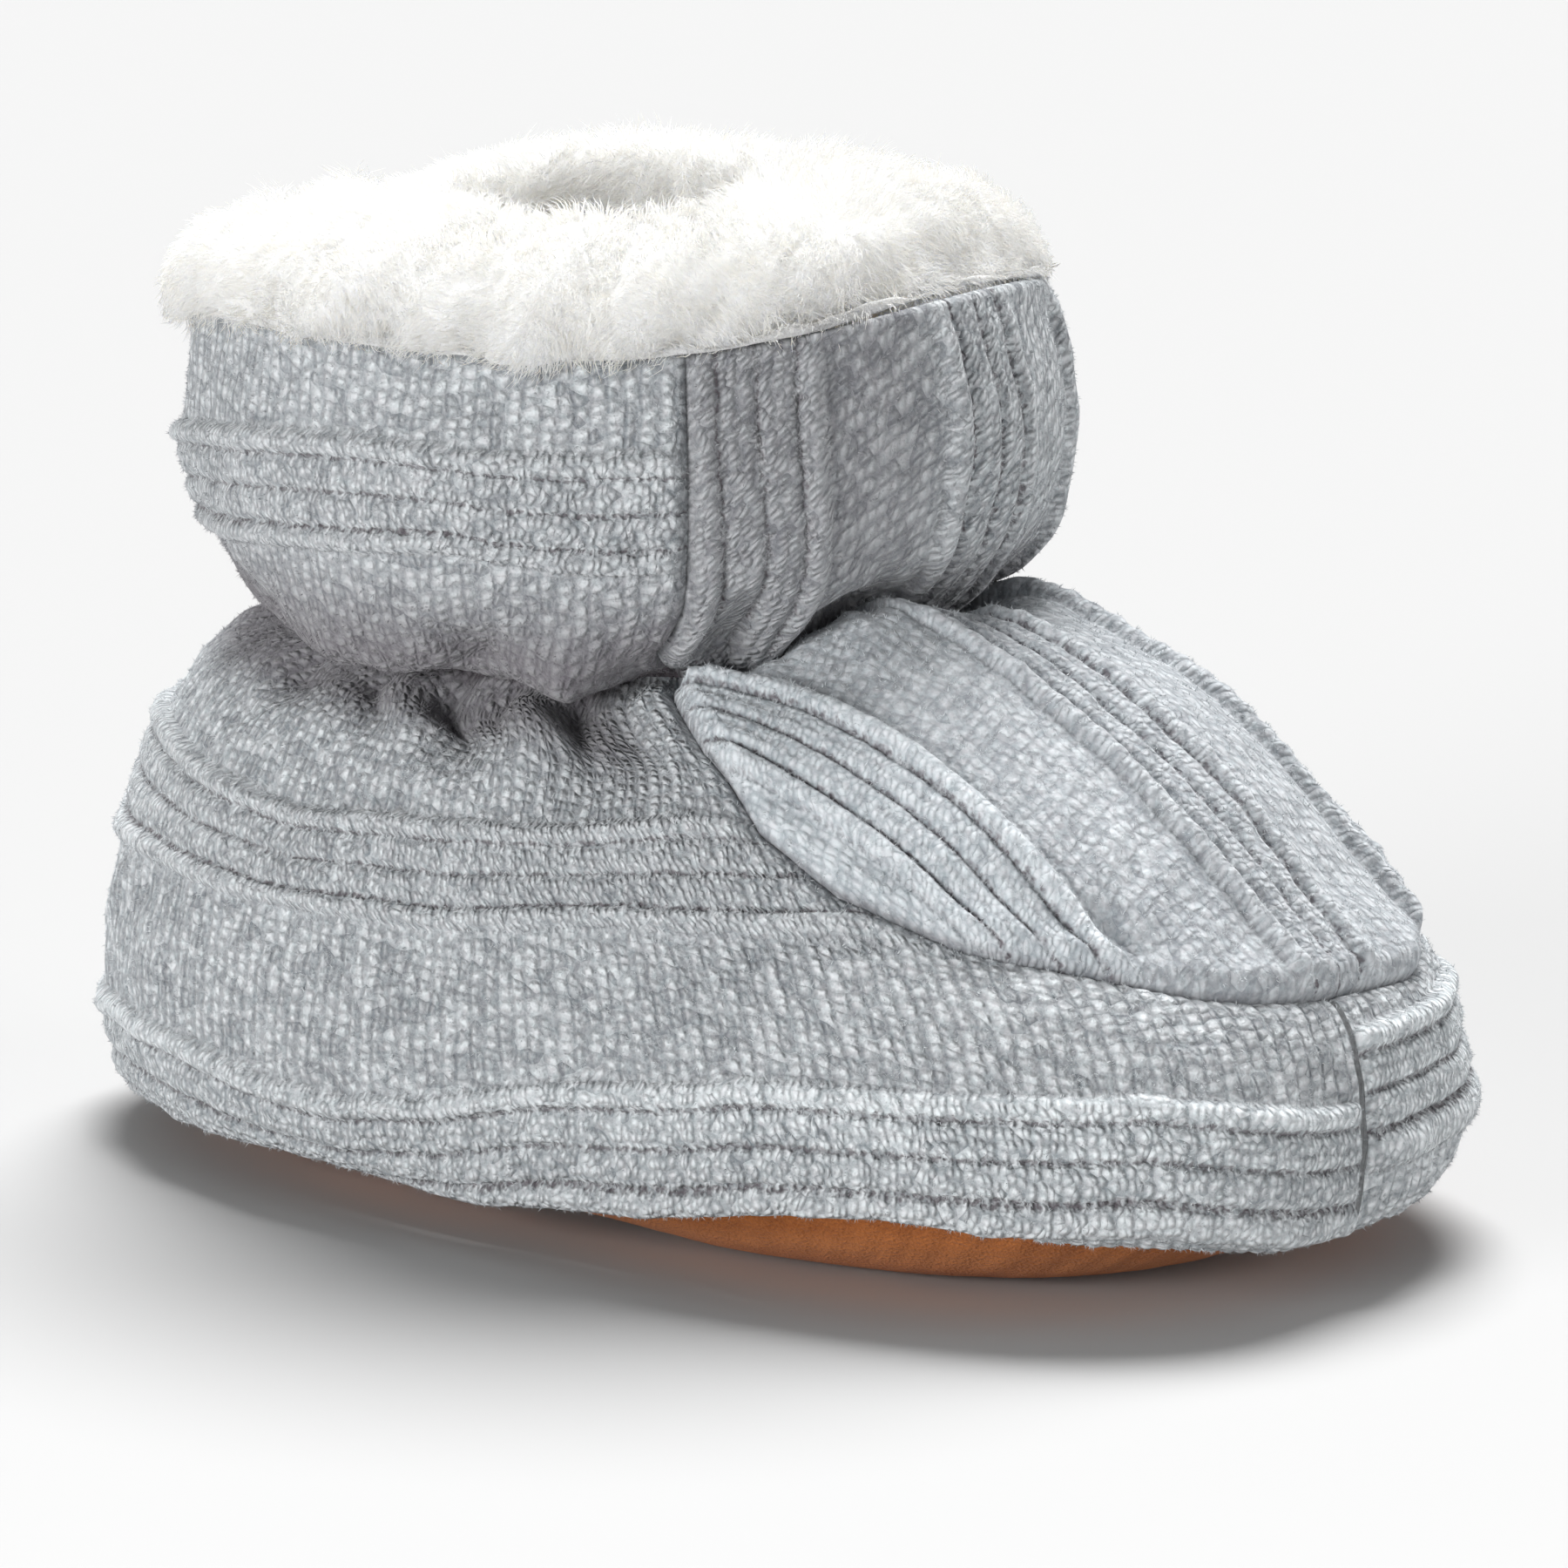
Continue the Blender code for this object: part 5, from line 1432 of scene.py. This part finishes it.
def make_footbed(material):
    """The fleece-covered footbed."""
    angles = np.linspace(-math.pi, math.pi, 200, endpoint=False)
    sole = surface(np.zeros(len(angles)), angles)
    wall = surface(np.full(len(angles), 0.6), angles, WALL)
    inner = surface(np.zeros(len(angles)), angles, WALL)
    reach = np.linalg.norm(sole[:, :2], axis=-1)
    inside = np.minimum(np.linalg.norm(inner[:, :2], axis=-1), np.linalg.norm(wall[:, :2], axis=-1))
    keep = (inside - INSOLE_SIDE_GAP) / reach
    up = np.array([0.0, 0.0, FIT_GAP])
    loops = [sole_top(sole, share * keep.min()) + up for share in (0.1, 0.4, 0.7, 0.92)]
    lower_edge = sole_top(sole, 1.0)
    lower_edge[:, :2] = sole[:, :2] * keep[:, None]
    rim = lower_edge.copy()
    rim[:, 2] += FIT_GAP + 0.35 * INSOLE_THICKNESS
    lower_edge[:, 2] += FIT_GAP
    loops += [lower_edge, rim]
    for share in np.linspace(0.985, 0.05, 26):
        top = rim.copy()
        top[:, :2] *= share
        floor = sole_top(sole, 1.0)[:, 2] * smooth_step(share, 0.55, 1.0)
        floor = floor + SOLE_THICKNESS * (1.0 - smooth_step(share, 0.55, 1.0))
        top[:, 2] = floor + FIT_GAP + INSOLE_THICKNESS * (0.80 + 0.20 * (1.0 - share))
        top[:, 2] += wander(top, 0.004, FOOTBED_SEED) * 0.15 * MM
        loops.append(top)
    bottom_z = SOLE_THICKNESS + FIT_GAP
    points, faces = capped(loops, [[0.0, 0.0, bottom_z], [0.0, 0.0, bottom_z + INSOLE_THICKNESS]])
    piece = add_piece("fleece_footbed", points, faces, material, replaced=("insole",))


# Camera
CAMERA_AZIMUTH = math.radians(36.0)
CAMERA_ELEVATION = math.radians(12.0)
CAMERA_TARGET = Vector((0.0, 0.0, 0.040))
CAMERA_DISTANCE = 1.0
CAMERA_LENS = 276.0
CAMERA_SHIFT = (12.0 / 1800.0, -88.0 / 1800.0)


def make_camera():
    back = Vector((math.sin(CAMERA_AZIMUTH) * math.cos(CAMERA_ELEVATION),
                   -math.cos(CAMERA_AZIMUTH) * math.cos(CAMERA_ELEVATION),
                   math.sin(CAMERA_ELEVATION)))
    data = bpy.data.cameras.new("camera")
    data.sensor_width = 36.0
    data.lens = CAMERA_LENS
    data.shift_x, data.shift_y = CAMERA_SHIFT
    data.clip_start = 0.01
    data.clip_end = 50.0
    camera = bpy.data.objects.new("camera", data)
    camera.location = CAMERA_TARGET + back * CAMERA_DISTANCE
    camera.rotation_euler = (-back).to_track_quat("-Z", "Y").to_euler()
    bpy.context.scene.collection.objects.link(camera)
    bpy.context.scene.camera = camera


def make_floor():
    """A wide pale floor, painted lighter on its near part to even out the shade there."""
    size = 6.0
    mesh = bpy.data.meshes.new("floor")
    corners = [(-size, -size, 0.0), (size, -size, 0.0), (size, size, 0.0), (-size, size, 0.0)]
    mesh.from_pydata(corners, [], [(0, 1, 2, 3)])
    graph = Graph("pale_floor")
    place = graph.node("ShaderNodeTexCoord").outputs["Object"]
    parts = graph.node("ShaderNodeSeparateXYZ", {0: place})
    sideways = graph.maths("MULTIPLY", parts.outputs[1], -0.81)
    nearness = graph.maths("MULTIPLY_ADD", parts.outputs[0], 0.59, sideways)
    colour = graph.mix(graph.ranged(nearness, -0.05, 0.14), FLOOR_FAR, FLOOR_NEAR)
    mesh.materials.append(graph.finish(colour, 1.0, specular=0.0))
    floor = bpy.data.objects.new("floor", mesh)
    bpy.context.scene.collection.objects.link(floor)


SUN_STRENGTH = 5.05
SUN_SPREAD = math.radians(34.0)
SUN_FROM = Vector((-0.30, 0.52, 1.20))
FILL_STRENGTH = 3.20
FILL_SPREAD = math.radians(38.0)
FILL_FROM = Vector((-0.20, -1.00, 0.12))
SIDE_STRENGTH = 1.20
SIDE_SPREAD = math.radians(40.0)
SIDE_FROM = Vector((0.85, 0.40, 0.14))
SKY_STRENGTH = 0.16


def make_light():
    for name, strength, spread, origin in (("key", SUN_STRENGTH, SUN_SPREAD, SUN_FROM),
                                           ("fill", FILL_STRENGTH, FILL_SPREAD, FILL_FROM),
                                           ("side", SIDE_STRENGTH, SIDE_SPREAD, SIDE_FROM)):
        data = bpy.data.lights.new(name, "SUN")
        data.energy = strength
        data.angle = spread
        light = bpy.data.objects.new(name, data)
        light.rotation_euler = origin.to_track_quat("Z", "Y").to_euler()
        bpy.context.scene.collection.objects.link(light)
    world = bpy.data.worlds.new("studio")
    world.use_nodes = True
    background = world.node_tree.nodes["Background"]
    background.inputs["Color"].default_value = (1.0, 1.0, 1.0, 1.0)
    background.inputs["Strength"].default_value = SKY_STRENGTH
    bpy.context.scene.world = world
    bpy.context.scene.view_settings.view_transform = "Standard"


def main():
    make_camera()
    make_floor()
    make_light()
    knit = knit_material("grey_knit", KNIT_DARK, KNIT_LIGHT, 0.00034, 0.20)
    apron_knit = knit_material("grey_apron_knit", APRON_DARK, APRON_LIGHT, 0.00016, 0.40)
    fuzz = fuzz_material()
    plush_base = plush_material("cream_plush_base", 0.0004)
    plush_hair = plush_material("cream_plush", 0.0001)

    wrap = make_wrap()
    apron = make_apron()
    shaft = [make_shaft(front=True), make_shaft(front=False)]
    for name, grids, material in (("foot_wrap", wrap, knit), ("apron_panel", [apron], apron_knit),
                                  ("shaft_panels", shaft, knit)):
        points, quads, attributes = join_grids(grids)
        add_piece(name, points, quads, material, attributes, replaced=("upper",))
    make_fuzz("fuzz_foot", wrap + [apron], FOOT_TUFTS, FUZZ_SEED, fuzz)
    make_fuzz("fuzz_shaft", shaft, SHAFT_TUFTS, FUZZ_SEED + 1, fuzz)
    make_plush(plush_base, plush_hair)
    make_lining(plush_base)
    make_sole(suede_material())
    make_footbed(plush_base)


main()
